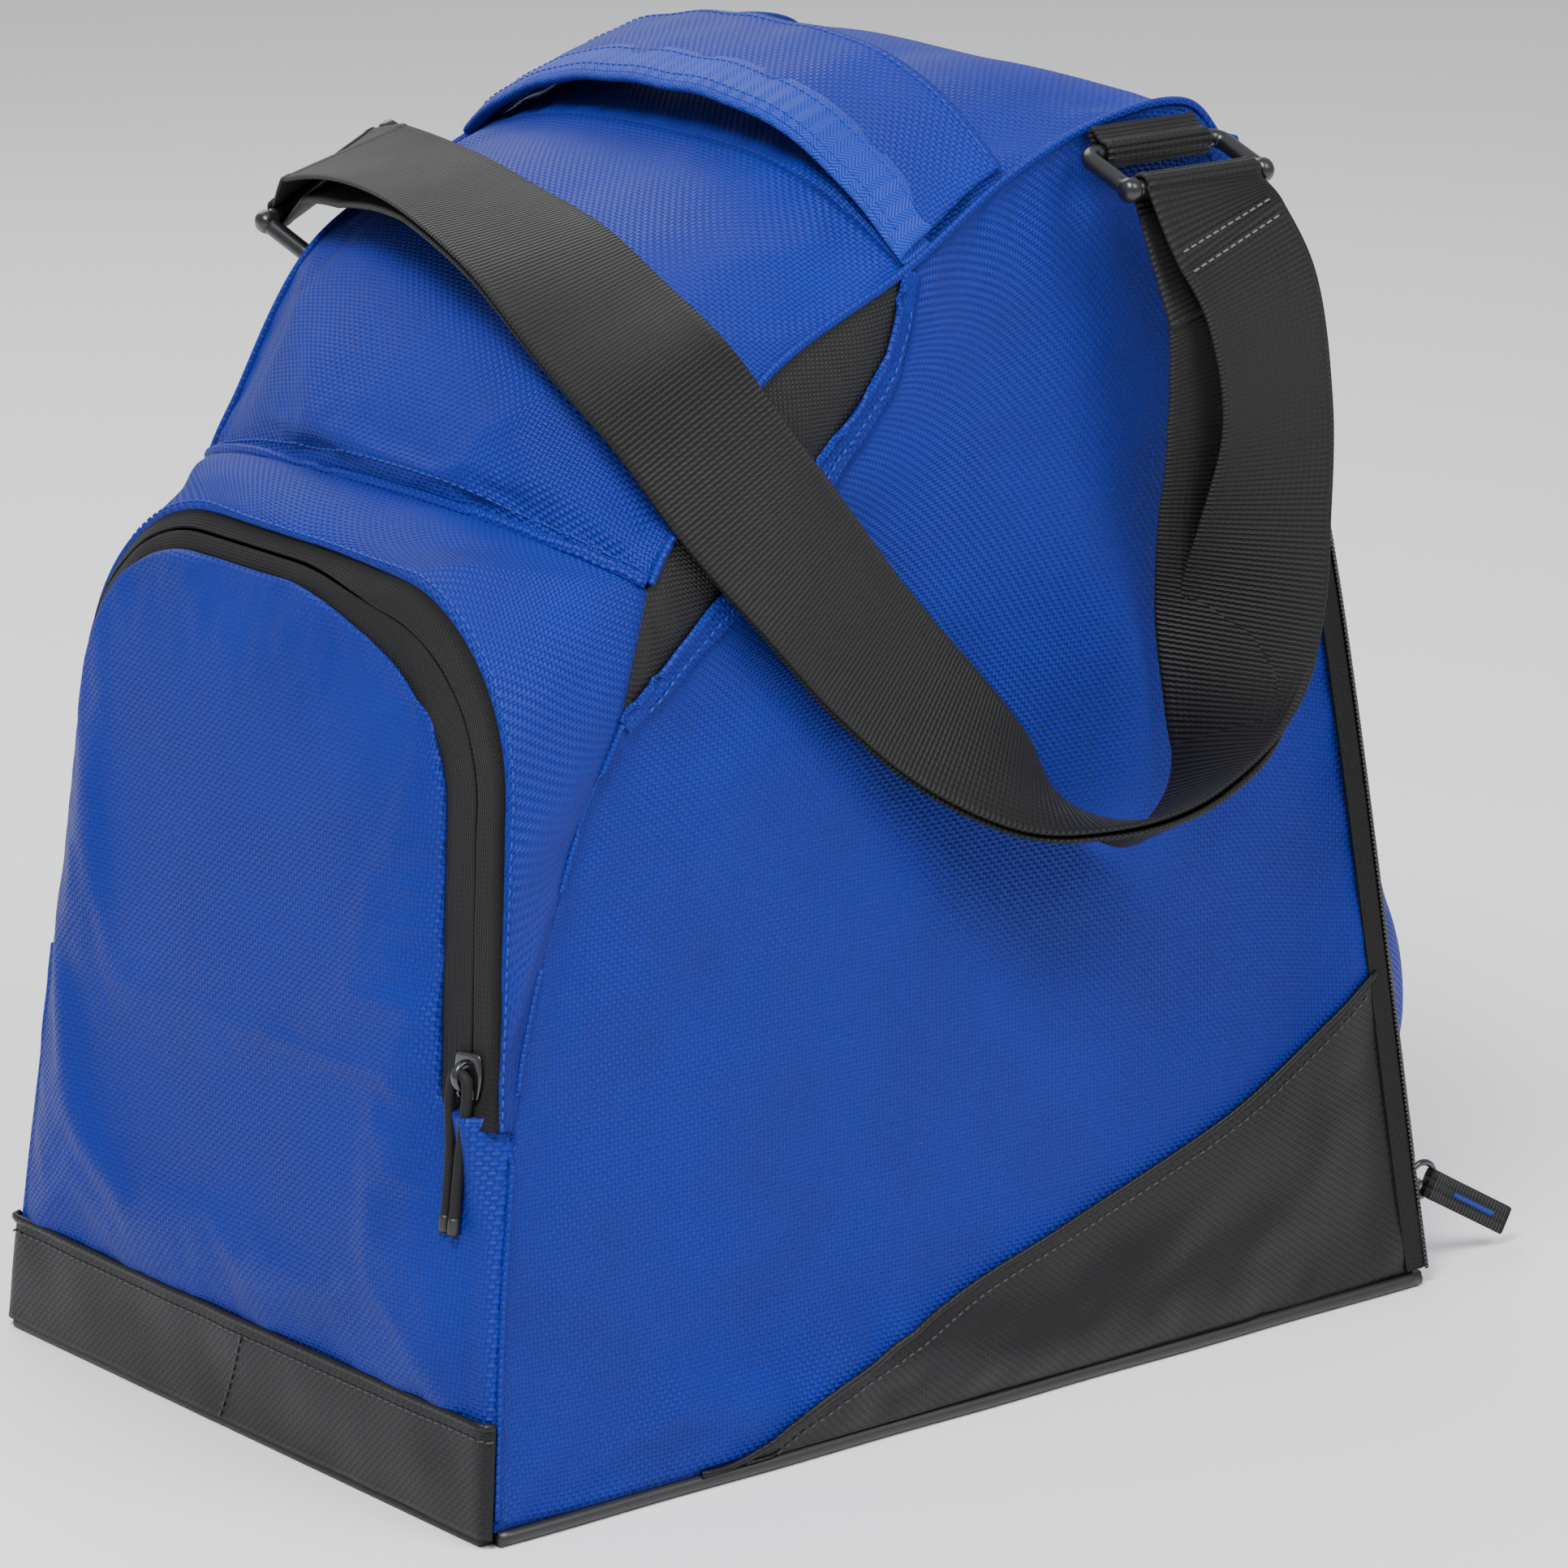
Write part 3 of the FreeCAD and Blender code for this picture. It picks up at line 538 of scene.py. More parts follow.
def webbing_section(width, thick, edge=0.35):
    """A flat band with slightly thicker selvages."""
    half = width / 2
    left = np.array([-half, -half + 0.5, -half + 2.6, -half + 4, -half * 0.5])
    left_rise = np.array([0.25, 0.9, 1.0 + edge * 0.5, 0.88, 1.0])
    across = np.concatenate([left, [0], -left[::-1]])
    rise = np.concatenate([left_rise, [1.0], left_rise[::-1]]) * thick / 2
    upper = np.stack([across, rise], axis=1)
    return np.concatenate([upper, upper[::-1] * (1, -1)])[::-1]


def capsules(name, centres, ways, facings, length, radius, slot, body, dip):
    """One mesh of short rounded bars, their ends sinking into the cloth."""
    ways = square_to(np.broadcast_to(ways, centres.shape), facings)
    side = np.cross(ways, facings)
    rings = [(-0.5, 0.3, -dip), (-0.36, 0.9, 0.0), (0.36, 0.9, 0.0), (0.5, 0.3, -dip)]
    points = []
    for share, wide, low in rings:
        for x, y in round_section(wide, 6):
            offset = side * (radius * x) + facings * (radius * (y + low))
            points.append(centres + ways * share * length + offset)
    points = np.stack(points, axis=1)
    faces, uv = [], []
    for k in range(len(centres)):
        faces += tube_faces(k * 24, 4, 6)
        uv += [(j * 0.4 + k, ring * 0.8) for ring in range(4) for j in range(6)]
    return build(name, points.reshape(-1, 3), faces, uv, slot, body)


def stitch_row(name, line, facings, slot="blue_thread", body="bag", pitch=3.6, length=2.6, radius=0.42):
    """A row of topstitching along a line on the cloth."""
    run = run_along(line)
    at = np.arange(pitch / 2, run[-1] - pitch / 2, pitch)
    centres, ups = sampled(line, run, at), unit(sampled(facings, run, at))
    ways = unit(sampled(unit(np.gradient(line, axis=0)), run, at))
    capsules(name, centres + ups * 0.15, ways, ups, length, radius, slot, body, 1.2)


def stitched(name, skin, line, inward, slot="blue_thread", lift=0.0, **sizes):
    """Topstitching laid on the outside of finished panels."""
    stitch_row(name, *skin.onto(line, inward, lift), slot, **sizes)


def rolled_seam(name, skin, line, inward, lift, section, slot="blue_fabric"):
    """A rolled edge of cloth laid on the outside of finished panels."""
    rim, facing = skin.onto(line, inward, lift)
    swept(name, rim, section, slot, "bag", hint=facing)


# ---- shapes of the bag ----
def arch_line(inset, foot, top, corner):
    """(y, z) from the near leg's foot over the arch to the far leg's foot; values may vary along it."""
    count = ARCH_COUNT
    inset, top, corner = (np.broadcast_to(np.asarray(v, float), count) for v in (inset, top, corner))
    spring = top - corner
    radius = np.maximum(corner - inset, 0.5)
    up = np.linspace(0, 1, LEG_STEPS, endpoint=False)
    turn = np.linspace(0, math.pi / 2, BEND_STEPS)
    line = np.zeros((count, 2))
    for sign in (-1, 1):
        k = slice(0, LEG_STEPS) if sign < 0 else slice(count - 1, count - 1 - LEG_STEPS, -1)
        z = foot + (spring[k] - foot) * up
        line[k] = np.column_stack([sign * (half_width(z, sign) - inset[k]), z])
        first = LEG_STEPS if sign < 0 else count - 1 - LEG_STEPS
        k = slice(first, first - sign * BEND_STEPS, -sign)
        y = half_width(spring[k], sign) - inset[k] - radius[k] + radius[k] * np.cos(turn)
        line[k] = np.column_stack([sign * y, spring[k] + radius[k] * np.sin(turn)])
    first, last = LEG_STEPS + BEND_STEPS, count - LEG_STEPS - BEND_STEPS
    share = np.linspace(0, 1, TOP_STEPS + 2)[1:-1]
    line[first:last, 0] = line[first - 1, 0] + (line[last, 0] - line[first - 1, 0]) * share
    line[first:last, 1] = (top - inset)[first:last]
    return line


def arch_patch(line, rows, columns):
    """A grid filling an arch, whose corners are shared between its sides and its top."""
    quarter = LEG_STEPS + BEND_STEPS // 2
    near, far = line[:quarter + 1], line[::-1][:quarter + 1]
    foot, over = spread([near[0], far[0]], columns), spread(line[quarter:ARCH_COUNT - quarter], columns)
    return coons(spread(near, rows), spread(far, rows), foot, over)


def rolled(w, radius):
    """Inset and depth of a point w along the skin from the middle of a rounded edge, face side negative."""
    half = radius * math.pi / 4
    angle = np.clip((w / half + 1) * math.pi / 4, 0, math.pi / 2)
    inset = radius * (1 - np.sin(angle)) + np.maximum(-w - half, 0)
    depth = radius * (1 - np.cos(angle)) + np.maximum(w - half, 0)
    return inset, depth


# The pocket's zip lies on the face down the near leg and rides up onto the rolled edge over the top.
ARCH_STEP = np.arange(ARCH_COUNT)
CLIMB = np.clip((ARCH_STEP - (LEG_STEPS + BEND_STEPS * 0.5)) / (BEND_STEPS * 0.5 + TOP_STEPS * 0.5), 0, 1)
CLIMB = CLIMB * CLIMB * (3 - 2 * CLIMB)
ROLL = 3.5 + 5.5 * CLIMB
ZIP_SHIFT = -11.2 + 10.7 * CLIMB
FLAP_COVER = 14.5 - 9.0 * CLIMB - 1.5 * np.clip((ARCH_STEP - 86) / 20, 0, 1)
BODY_RIM = TAPE_HALF - 7.5 * CLIMB


def nose_line(w, foot):
    """A line round the pocket end at skin distance w from its zip."""
    inset, depth = rolled(np.broadcast_to(w, ARCH_COUNT) + ZIP_SHIFT, ROLL)
    share = depth / YOKE_RUN
    yz = arch_line(inset, foot, POCKET_TOP + YOKE_RISE * share, POCKET_CORNER - YOKE_SQUARING * share)
    return np.column_stack([front_x(yz[:, 1]) + depth, yz])


LOAD_CURVE = smooth_line(LOAD_LINE, 200)


def load_line(w, foot=6.0):
    """A line round the loading end at skin distance w from its zip, which runs on the corner."""
    inset, depth = rolled(w, LOAD_ROLL)
    yz = arch_line(inset, foot, LOAD_LINE[-1][1] - 1, LOAD_CORNER)
    return np.column_stack([np.interp(yz[:, 1], LOAD_CURVE[:, 1], LOAD_CURVE[:, 0]) - depth, yz])


def crown(station, t):
    """Points on the upper panels at a fractional station and t of the half width."""
    steps = 40
    count = steps * (len(STATIONS) - 1) + 1
    at = smooth_line(STATIONS.reshape(len(STATIONS), 6), count, even=False)
    row = np.array([np.interp(station * steps, np.arange(count), at[:, k]) for k in range(6)]).reshape(3, 2)
    t = np.asarray(t, float)[:, None]
    side = np.where(t < 0, row[0], row[2])
    xz = side + (row[1] - side) * (1 - np.abs(t) ** CROWN_POWER)
    y = t[:, 0] * (half_width(side[:, 1], t[:, 0]) - 0.5)
    return np.column_stack([xz[:, 0], y, xz[:, 1]])


def on_side(xz, sign):
    """Points on the plane of a side wall, given by x and z."""
    xz = np.asarray(xz, float)
    return np.stack([xz[..., 0], sign * half_width(xz[..., 1], sign), xz[..., 1]], axis=-1)


def seam_x(z):
    return np.interp(z, [p[1] for p in POCKET_SEAM], [p[0] for p in POCKET_SEAM])


# ---- side walls ----
SIDE_SKIN = {}
for sign, side_name in SIDES.items():
    seam_rim = STATIONS[:, SIDE_COLUMN[sign]]
    rear_of_vent = VENT_REAR[sign] + [tuple(seam_rim[3])]
    left = np.concatenate([spread([(-196.3, 5)] + POCKET_SEAM[1:], 46), smooth_line(rear_of_vent, 32)[1:]])
    left = spread(left, 78)
    right = spread([(199.7, 5)] + LOAD_CURVE[8:].tolist(), 78)
    right[:, 0] -= ZIP_MARGIN * np.clip((391 - right[:, 1]) / 30, 0, 1)
    flat = on_side(coons(left, right, spread([left[0], right[0]], 70), smooth_line(seam_rim[3:], 70)), sign)
    full = puffed(flat, SIDE_BELLY[sign], 40, 11 + SIDE_COLUMN[sign], 0.9)
    full = settle_grid(full, 1.6 * sign, 0.012)
    wall = panel("side_wall_" + side_name, full, "blue_fabric", "bag", ["side_panel_" + side_name])
    SIDE_SKIN[sign] = Skin(wall)


def side_strip(name, sign, lower, upper, rows, slot, lift, nodes=()):
    """Cloth laid on a side wall between two lines of (x, z)."""
    flat = on_side(between(lower, upper, rows), sign)
    placed, _ = SIDE_SKIN[sign].onto(flat.reshape(-1, 3), (0, -sign, 0), lift)
    return panel(name, placed.reshape(flat.shape), slot, "bag", nodes, (0, sign, 0), 1.2, None)


for sign, side_name in SIDES.items():
    skin = SIDE_SKIN[sign]
    inward = (0, -sign, 0)
    edge = smooth_line(GUARD_LINE, 90)
    edge[:, 0] -= ZIP_MARGIN * np.clip((edge[:, 0] - 100) / 80, 0, 1)
    foot = np.column_stack([np.linspace(-112, 192.5, 90), np.full(90, 5.0)])
    guard_node = "lower_guard_" + side_name
    guard = side_strip("guard_" + side_name, sign, foot, edge, 18, "coated_fabric", 1.3, [guard_node])
    section = round_section(1.3, 10, 0.75)
    rolled_seam("guard_edge_" + side_name, skin, on_side(edge, sign), inward, 1.3, section, "coated_fabric")
    below = on_side(edge[2:-1] - np.array([-0.25, 1.0]) * 4.5, sign)
    stitched("guard_stitches_" + side_name, Skin(guard), below, inward, "grey_thread")

    # vent: black mesh in the crescent behind the front seam, with a folded blue hem
    count = 60
    seam_rim = STATIONS[:4, SIDE_COLUMN[sign]]
    front = smooth_line([(-126, 245)] + seam_rim.tolist(), count)
    rear = smooth_line(VENT_REAR[sign] + [tuple(seam_rim[3])], count)
    mesh_grid = on_side(between(front, rear, 14), sign)
    share = np.linspace(0, 1, 14)[:, None]
    middle = np.sin(np.pi * share) * np.sin(np.pi * np.linspace(0, 1, count))[None]
    along = np.linspace(0, 190, count)[None]
    ripple = 0.5 * np.sin(along / 3.1 + 3 * noise(along, share * 40, 60, 5)) * middle
    mesh_grid[..., 1] += sign * (2.5 * middle + ripple - 0.6)
    vent_node = "vent_mesh_" + side_name
    mesh_piece = panel("vent_" + side_name, mesh_grid, "vent_mesh", "bag", [vent_node], thick=1.0, inner=None)
    hem_way = np.gradient(rear, axis=0)
    hem_side = unit(np.column_stack([hem_way[:, 1], -hem_way[:, 0]]))
    width = 9.0 * np.sin(np.pi * np.linspace(0.06, 0.94, count))[:, None] ** 0.4
    side_strip("vent_hem_" + side_name, sign, rear, rear + hem_side * width, 5, "blue_fabric", 1.1)
    rolled_seam("vent_rim_" + side_name, skin, on_side(rear, sign), inward, 0.6, round_section(1.5, 10, 0.8))
    hem_line = on_side(rear + hem_side * np.minimum(width, 5.0), sign)[3:-3]
    stitched("vent_stitches_" + side_name, skin, hem_line, inward, lift=1.2)

    # seam between the pocket end and the side wall
    seam = on_side(smooth_line(POCKET_SEAM, 90)[2:] + np.array([0.8, 0]), sign)
    rolled_seam("pocket_seam_" + side_name, skin, seam, inward, 0.2, round_section(1.1))

# ---- upper panels ----
CROWDING = np.linspace(-1, 1, 57)
ACROSS_T = np.sign(CROWDING) * (1 - (1 - np.abs(CROWDING)) ** 1.25)     # closer together at the seams


def creased(grid):
    """The upper front, with a crease near its far seam."""
    u, _ = skin_distance(grid)
    along = np.sin(np.pi * np.linspace(0, 1, len(grid)))[:, None]
    grid[..., 2] -= 1.6 * bell(u[:, -1:] - u, 30, 4.5) * along
    return grid


def folded(grid):
    """The top, with soft folds across it in front of its middle."""
    u, v = skin_distance(grid)
    folds = np.sin((u * 0.75 + v * 0.65) / 11.0 + noise(u, v, 60, 8)) * bell(v, -40, 45)
    grid[..., 2] += 0.9 * folds * risen(edge_distance(grid), 20)
    return grid


UPPER = []
for name, node, first, last, rows, height, growth, seed, shaped in (
    ("front_upper", "front_upper_panel", 0.0, 3.0, 34, 3.0, 0.015, 31, creased),
    ("top", "top_panel", 3.0, 7.0, 40, 2.5, 0.016, 41, folded),
):
    grid = np.stack([crown(s, ACROSS_T) for s in np.linspace(first, last, rows)])
    grid = shaped(puffed(grid, height, 24, seed, 0.8))
    UPPER.append(panel(name + "_cloth", settle_grid(grid, -1.0, growth, 3.0), "blue_fabric", "bag", [node]))
UPPER_SKIN = Skin(*UPPER)

for sign, side_name in SIDES.items():
    line = np.stack([crown(s, [sign * 1.0])[0] for s in np.linspace(0.0, 7.0, 200)])
    line[:, 1] += sign * 0.5
    swept("top_seam_" + side_name, line, round_section(1.5), "blue_fabric", "bag", hint=(0, sign * 0.6, 1))

INTO_CHEST = (0.75, 0, -0.66)
chest = crown(0.0, np.linspace(-1, 1, 120))
_, chest_facing = UPPER_SKIN.onto(crown(0.25, np.linspace(-1, 1, 120)), INTO_CHEST)
welt_section = round_section(2.3, 12, 0.75)
swept("chest_welt", chest + chest_facing, welt_section, "blue_fabric", "bag", hint=chest_facing)
stitched("chest_stitches", UPPER_SKIN, crown(0.22, np.linspace(-0.97, 0.97, 120)), INTO_CHEST)


# ---- pocket end ----
def face_band(heights, columns, wraps, near_inset, far_inset):
    """Rows round the pocket end from the near seam over both rolled edges to the far seam."""
    rows = []
    for z in heights:
        roll = float(np.clip(seam_x(z) - front_x(z), 2.5, 9.0))
        ends = []
        for sign, cover in ((-1, near_inset), (1, far_inset)):
            half = roll * math.pi / 4
            inset, depth = rolled(np.linspace(half, min(-half, roll - half - cover), wraps), roll)
            inset[-1] = cover
            y = sign * (half_width(z, sign) - inset)
            ends.append(np.column_stack([front_x(z) + depth, y, np.full(wraps, z)]))
        near, far = ends
        rows.append(np.concatenate([near, spread([near[-1], far[-1]], columns)[1:-1], far[::-1]]))
    return np.array(rows)


# the lower panel and the flap are one cloth, which bends along the foot of the zip
WRAPS, FACE_COLUMNS = 9, 49
flap_edge = nose_line(-FLAP_COVER, HINGE_Z)
flap_grid = arch_patch(flap_edge, 40, FACE_COLUMNS)
near_inset = float(half_width(HINGE_Z, -1) + flap_edge[0, 1])
far_inset = float(half_width(HINGE_Z, 1) - flap_edge[-1, 1])
low_heights = np.linspace(STRIP_HEIGHT - 1, HINGE_Z, 20)
low_grid = face_band(low_heights, FACE_COLUMNS, WRAPS, near_inset, far_inset)

# where the cloth is held flat: beside both seams, along the strip and round the zip
HELD_NEAR, HELD_FAR, HELD_FOOT = 12, 5, STRIP_HEIGHT - 3
held = [(HELD_NEAR - float(half_width(z, -1)), z) for z in (HELD_FOOT, 100)] + flap_edge[:, 1:].tolist()
held += [(float(half_width(z, 1)) - HELD_FAR, z) for z in (100, HELD_FOOT)] + [(-122.0, HELD_FOOT)]
held = spread(held, 700)


def face_swell(grid):
    """How far the pocket's cloth stands out from its flat face."""
    y, z = grid[..., 1], grid[..., 2]
    reach = np.min(np.hypot(y[..., None] - held[:, 0], z[..., None] - held[:, 1]), axis=-1)
    reach[(y < HELD_NEAR - float(half_width(60, -1))) | (y > float(half_width(60, 1)) - HELD_FAR)] = 0
    swell = 11.0 * risen(reach, 20) + 0.9 * noise(y, z, 95, 61) * risen(reach, 30)
    folds = noise(y * 0.5, z * 1.7, 26, 62) * bell(y, -92, 26) * bell(z, 150, 70)
    top_gathers = noise(y * 1.8, z * 0.5, 17, 63) * bell(z, 262, 14)
    return swell + (1.5 * folds + 0.9 * top_gathers) * np.clip(reach / 8, 0, 1)


for grid in (flap_grid, low_grid):
    grid[..., 0] -= face_swell(grid)
hem = risen(edge_distance(flap_grid, bottom=False), 2.0) * np.clip((flap_grid[..., 2] - HINGE_Z) / 20, 0, 1)
flap_grid[..., 0] -= 0.6 + 1.2 * hem
low_rows, low_columns = low_grid.shape[:2]
flap_rows = flap_grid.shape[0]
points = np.concatenate([low_grid.reshape(-1, 3), flap_grid[1:].reshape(-1, 3)])
number = np.arange(flap_rows * FACE_COLUMNS) + low_rows * low_columns - FACE_COLUMNS
number[:FACE_COLUMNS] = (low_rows - 1) * low_columns + WRAPS - 1 + np.arange(FACE_COLUMNS)
faces = grid_faces(low_rows, low_columns)
faces += [tuple(int(number[k]) for k in face) for face in grid_faces(flap_rows, FACE_COLUMNS)]
pinned_low = np.zeros((low_rows, low_columns), bool)
pinned_low[0] = pinned_low[:, :WRAPS] = pinned_low[:, -WRAPS:] = True
pinned_flap = np.zeros((flap_rows, FACE_COLUMNS), bool)
pinned_flap[:, 0] = pinned_flap[:, -1] = pinned_flap[-1] = True
points = settle(points, faces, np.concatenate([pinned_low.ravel(), pinned_flap[1:].ravel()]), 1.4, 0.014, 3.5)
face_nodes = ["front_lower_panel", "pocket_flap"]
face_uv = points[:, 1:]
pocket_face = cloth_piece("pocket_face", points, faces, face_uv, "blue_fabric", None, face_nodes, (-1, 0, 0))
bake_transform(pocket_face)

# zip tapes on either side of a fine slot, with the coil behind it
for name, sign, low, high in (("body", 1, ZIP_SLOT, BODY_RIM), ("flap", -1, -TAPE_HALF - 2, -ZIP_SLOT)):
    body = "bag" if name == "body" else "pocket_flap"
    grid = np.stack([nose_line(w, ZIP_FOOT) for w in np.linspace(low, high, 12)])
    u, v = skin_distance(grid)
    low_end = np.clip((HINGE_Z + 6 - grid[..., 2]) / 10, 0, 1)
    grid += outward_normals(grid) * (0.2 * noise(u, v, 22, 71) - 0.3 + low_end)[..., None]
    grid[..., 0] -= face_swell(grid) * 0.25 * low_end
    ridden = body if name == "body" else None
    node = "pocket_zip_" + name + "_tape"
    tape = panel("pocket_zip_" + name, grid, "zip_tape", ridden, [node], thick=0.9, inner=None)
    if name == "flap":
        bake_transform(tape)
    line = spread(nose_line(sign * 1.6, ZIP_FOOT + 9), 460)
    tangent = unit(np.gradient(line, axis=0))
    out_way = np.column_stack([np.full(len(line), -0.9), line[:, 1] / 400, (line[:, 2] - 150) / 260])
    facing = square_to(out_way, tangent)
    behind, across = line - facing * 1.7, np.cross(tangent, facing)
    coil = capsules("pocket_coil_" + name, behind, across, facing, 3.4, 0.55, "zip_coil", body, 0.2)
    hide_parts("pocket_zip_" + name + "_coil")

# yoke: from the tape's outer edge back to the seams
outer_edge = nose_line(BODY_RIM - 1.5, ZIP_FOOT)
crown_line = crown(0.0, np.linspace(-1, 1, TOP_STEPS + 2))
sides = []
for sign, end in ((-1, crown_line[0]), (1, crown_line[-1])):
    z = outer_edge[:LEG_STEPS, 2]
    leg_x = np.maximum(seam_x(z), outer_edge[:LEG_STEPS, 0] + 1.5)
    leg = np.column_stack([leg_x, sign * half_width(z, sign), z])
    z = np.linspace(z[-1], 245, BEND_STEPS // 2 + 1)[1:]
    bend = np.column_stack([seam_x(z), sign * half_width(z, sign), z])
    sides.append(np.concatenate([leg, bend, spread([bend[-1], end], BEND_STEPS - len(bend) + 1)[1:]]))
rear_edge = np.concatenate([sides[0], crown_line[1:-1], sides[1][::-1]])
yoke = between(outer_edge, rear_edge, 12)
facing = outward_normals(yoke)
share = np.linspace(0, 1, 12)[:, None, None]
u, v = skin_distance(yoke)
arched = np.sin(np.pi * share)
spans = np.linalg.norm(rear_edge - outer_edge, axis=1)[None, :, None]
rise = arched ** 0.7 * spans * 0.09 + 1.4 * (1 - share)
yoke = yoke + facing * (rise + (0.5 * noise(u, v, 30, 81) + 0.3 * noise(u, v, 14, 82))[..., None] * arched)
panel("yoke", yoke, "blue_fabric", "bag", ["pocket_yoke"])
stitch_row("yoke_stitches", yoke[1] * 0.55 + yoke[0] * 0.45 + facing[1] * 0.1, facing[1])


# coated strip along the foot
def foot_line(z, lift):
    line = spread(face_band([z], 60, 8, 8.0, 8.0)[0], 90)
    y = line[:, 1] / (WIDTH / 2)
    line[:, 0] -= lift + 1.4 * (1 - np.abs(y) ** 4) * np.clip((z - 5) / 30, 0, 1)
    line[:, 1] += lift * np.sign(line[:, 1]) * (np.abs(y) > 0.95)
    return line


strip = np.stack([foot_line(z, 1.2) for z in np.linspace(3.2, STRIP_HEIGHT + 2, 12)])
u, v = skin_distance(strip)
strip[..., 0] -= 0.35 * noise(u, v, 26, 91)
panel("foot_strip", strip, "coated_fabric", "bag", ["front_base_strip"], (-1, 0, 0), 1.4, None)
rim = strip[-1] + np.array([-0.3, 0, 0])
round_end = rim[:, 1] / (WIDTH / 2) * (np.abs(rim[:, 1]) > 126) * 3
facing = np.column_stack([np.full(len(rim), -1.0), round_end, np.zeros(len(rim))])
swept("foot_strip_edge", rim, round_section(1.5, 12, 0.8), "coated_fabric", "bag", hint=facing)
facing = unit(facing)
stitch_row("foot_strip_stitches", strip[-2] * 0.6 + strip[-3] * 0.4 + facing * 0.1, facing, "grey_thread")
seam = np.array([strip[k, 47] * (1 - k / 10) + strip[k, 43] * k / 10 for k in range(11)])
seam = spread(seam, 40) + np.array([-0.2, 0, 0])
stitch_row("foot_strip_seam", seam, np.tile((-1.0, 0, 0), (40, 1)), "grey_thread")

# lining wall at the back of the pocket
wall = []
for height in np.linspace(9, 282, 40):
    drop = max(height - 232, 0)
    near, far = (float(half_width(height, sign)) - 5 - drop**2 / 60 for sign in SIDES)
    x = -188 + 54 * (height - 8) / 276
    wall.append(np.column_stack([np.full(40, x), np.linspace(-near, far, 40), np.full(40, height)]))
wall = np.array(wall)
u, v = skin_distance(wall)
wall[..., 0] -= 0.6 * noise(u, v, 50, 95)
back_wall = panel("pocket_lining", wall, "lining", "bag", ["pocket_back_wall"], (-1, 0, 0), 1.0, None)

# ---- loading end ----
flap = arch_patch(load_line(-3.0), 76, 49)
gap = edge_distance(flap)
u, v = skin_distance(flap)
low_belly = bell(flap[..., 2], 105, 55)
swell = (14 + 20 * low_belly) * risen(gap, 24 - 12 * low_belly)
swell += 1.3 * noise(u, v, 90, 101) * risen(gap, 30) + 0.6 * noise(u, v, 30, 102) * risen(gap, 20)
flap[..., 0] += swell
flap = settle_grid(flap, -1.6, 0.014)
loading = panel("loading_flap", flap, "blue_fabric", None, ["back_flap"], (1, 0, 0))
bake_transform(loading)
# each half's tape between two skin distances, its coil's distance, and the feet of both
LOAD_HALVES = (
    ("body", "bag", ZIP_SLOT + 1, 10.0, 1.7, 6.0, 6.0),
    ("flap", "back_flap", -TAPE_HALF, -ZIP_SLOT - 1, -1.7, 40.0, 44.0),
)
for name, body, low, high, _, foot, _ in LOAD_HALVES:
    steps = np.linspace(low, high, 16)
    grid = np.stack([load_line(w, foot) for w in steps])
    rise = 1.5 - 3.0 * np.clip((-2.4 - steps) / 2.5, 0, 1)          # under the flap's cloth
    grid = grid + outward_normals(grid) * rise[:, None, None]
    node = "back_zip_" + name + "_tape"
    panel("main_zip_" + name, grid, "zip_tape", body, [node], thick=0.9, inner=None)
for name, body, _, _, w, _, foot in LOAD_HALVES:
    line = spread(load_line(w, foot), 620)
    tangent = unit(np.gradient(line, axis=0))
    upward = np.clip((line[:, 2] - 340) / 50, 0, 1)
    facing = square_to(np.column_stack([np.full(len(line), 1.0), line[:, 1] / 134, upward]), tangent)
    front, across = line + facing * 2.1, np.cross(tangent, facing)
    coil = capsules("main_coil_" + name, front, across, facing, 3.2, 0.85, "zip_coil", body, 0.2)
    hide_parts("back_zip_" + name + "_coil")

# ---- base ----
half = np.array([LENGTH, WIDTH - 6, 3.4]) / 2
corners = np.array([(x, y, z) for x in (-1, 1) for y in (-1, 1) for z in (-1, 1)], float) * half
faces = [(0, 1, 3, 2), (4, 6, 7, 5), (0, 4, 5, 1), (2, 3, 7, 6), (0, 2, 6, 4), (1, 5, 7, 3)]
uv = corners[:, :2] + corners[:, 2:]
base = build("base", corners + np.array([0, 0, 1.7]), faces, uv, "coated_fabric", "bag", ["base_panel"])
rounding = base.modifiers.new("rounding", "BEVEL")
rounding.width = 1.2 * MM
rounding.segments = 3


def finish_node(name, slot):
    """A CAD piece that is shown as it is, in its own material."""
    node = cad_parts[name]
    node.data.materials.clear()
    node.data.materials.append(MATERIALS[slot])
    return node


finish_node("base_stiffener", "board")
for sign, side_name in SIDES.items():
    piping_y = sign * (WIDTH / 2 - 0.5)
    line = np.column_stack([np.linspace(-195, 195, 80), np.full(80, piping_y), np.full(80, 2.5)])
    line[:, 1] += sign * 0.25 * np.sin(np.arange(80) * 0.35)
    piping_node = "base_piping_" + side_name
    swept("piping_" + side_name, line, round_section(2.4, 14), "piping", "bag", [piping_node], hint=(0, 0, 1))


# ---- handle ----
def band_point(share, t, lift):
    """A point on the carrying band, share of the way from its front edge."""
    base = crown(3.0 + share, [t])[0]
    return base + np.array([0, 0, 1.2 + 11 * (1 - abs(t) ** 2.5) + lift])


def band_stitches(name, skin, share, **sizes):
    line = np.array([band_point(share, t, 5) for t in np.linspace(-0.96, 0.96, 90)])
    stitched(name, skin, line, (0, 0, -1), **sizes)


t_line = np.linspace(-1, 1, 90)
band_grid = np.array([[band_point(share, t, 4.0) for t in t_line] for share in np.linspace(0, 1, 12)])
u, v = skin_distance(band_grid)
band_grid[..., 2] += 0.45 * noise(u, v, 26, 111) + 0.5 * np.sin(np.pi * np.linspace(0, 1, 12))[:, None]
band = panel("handle_cloth", band_grid, "blue_fabric", "bag", ["handle_band"], (0, 0, 1), 4.0, None)

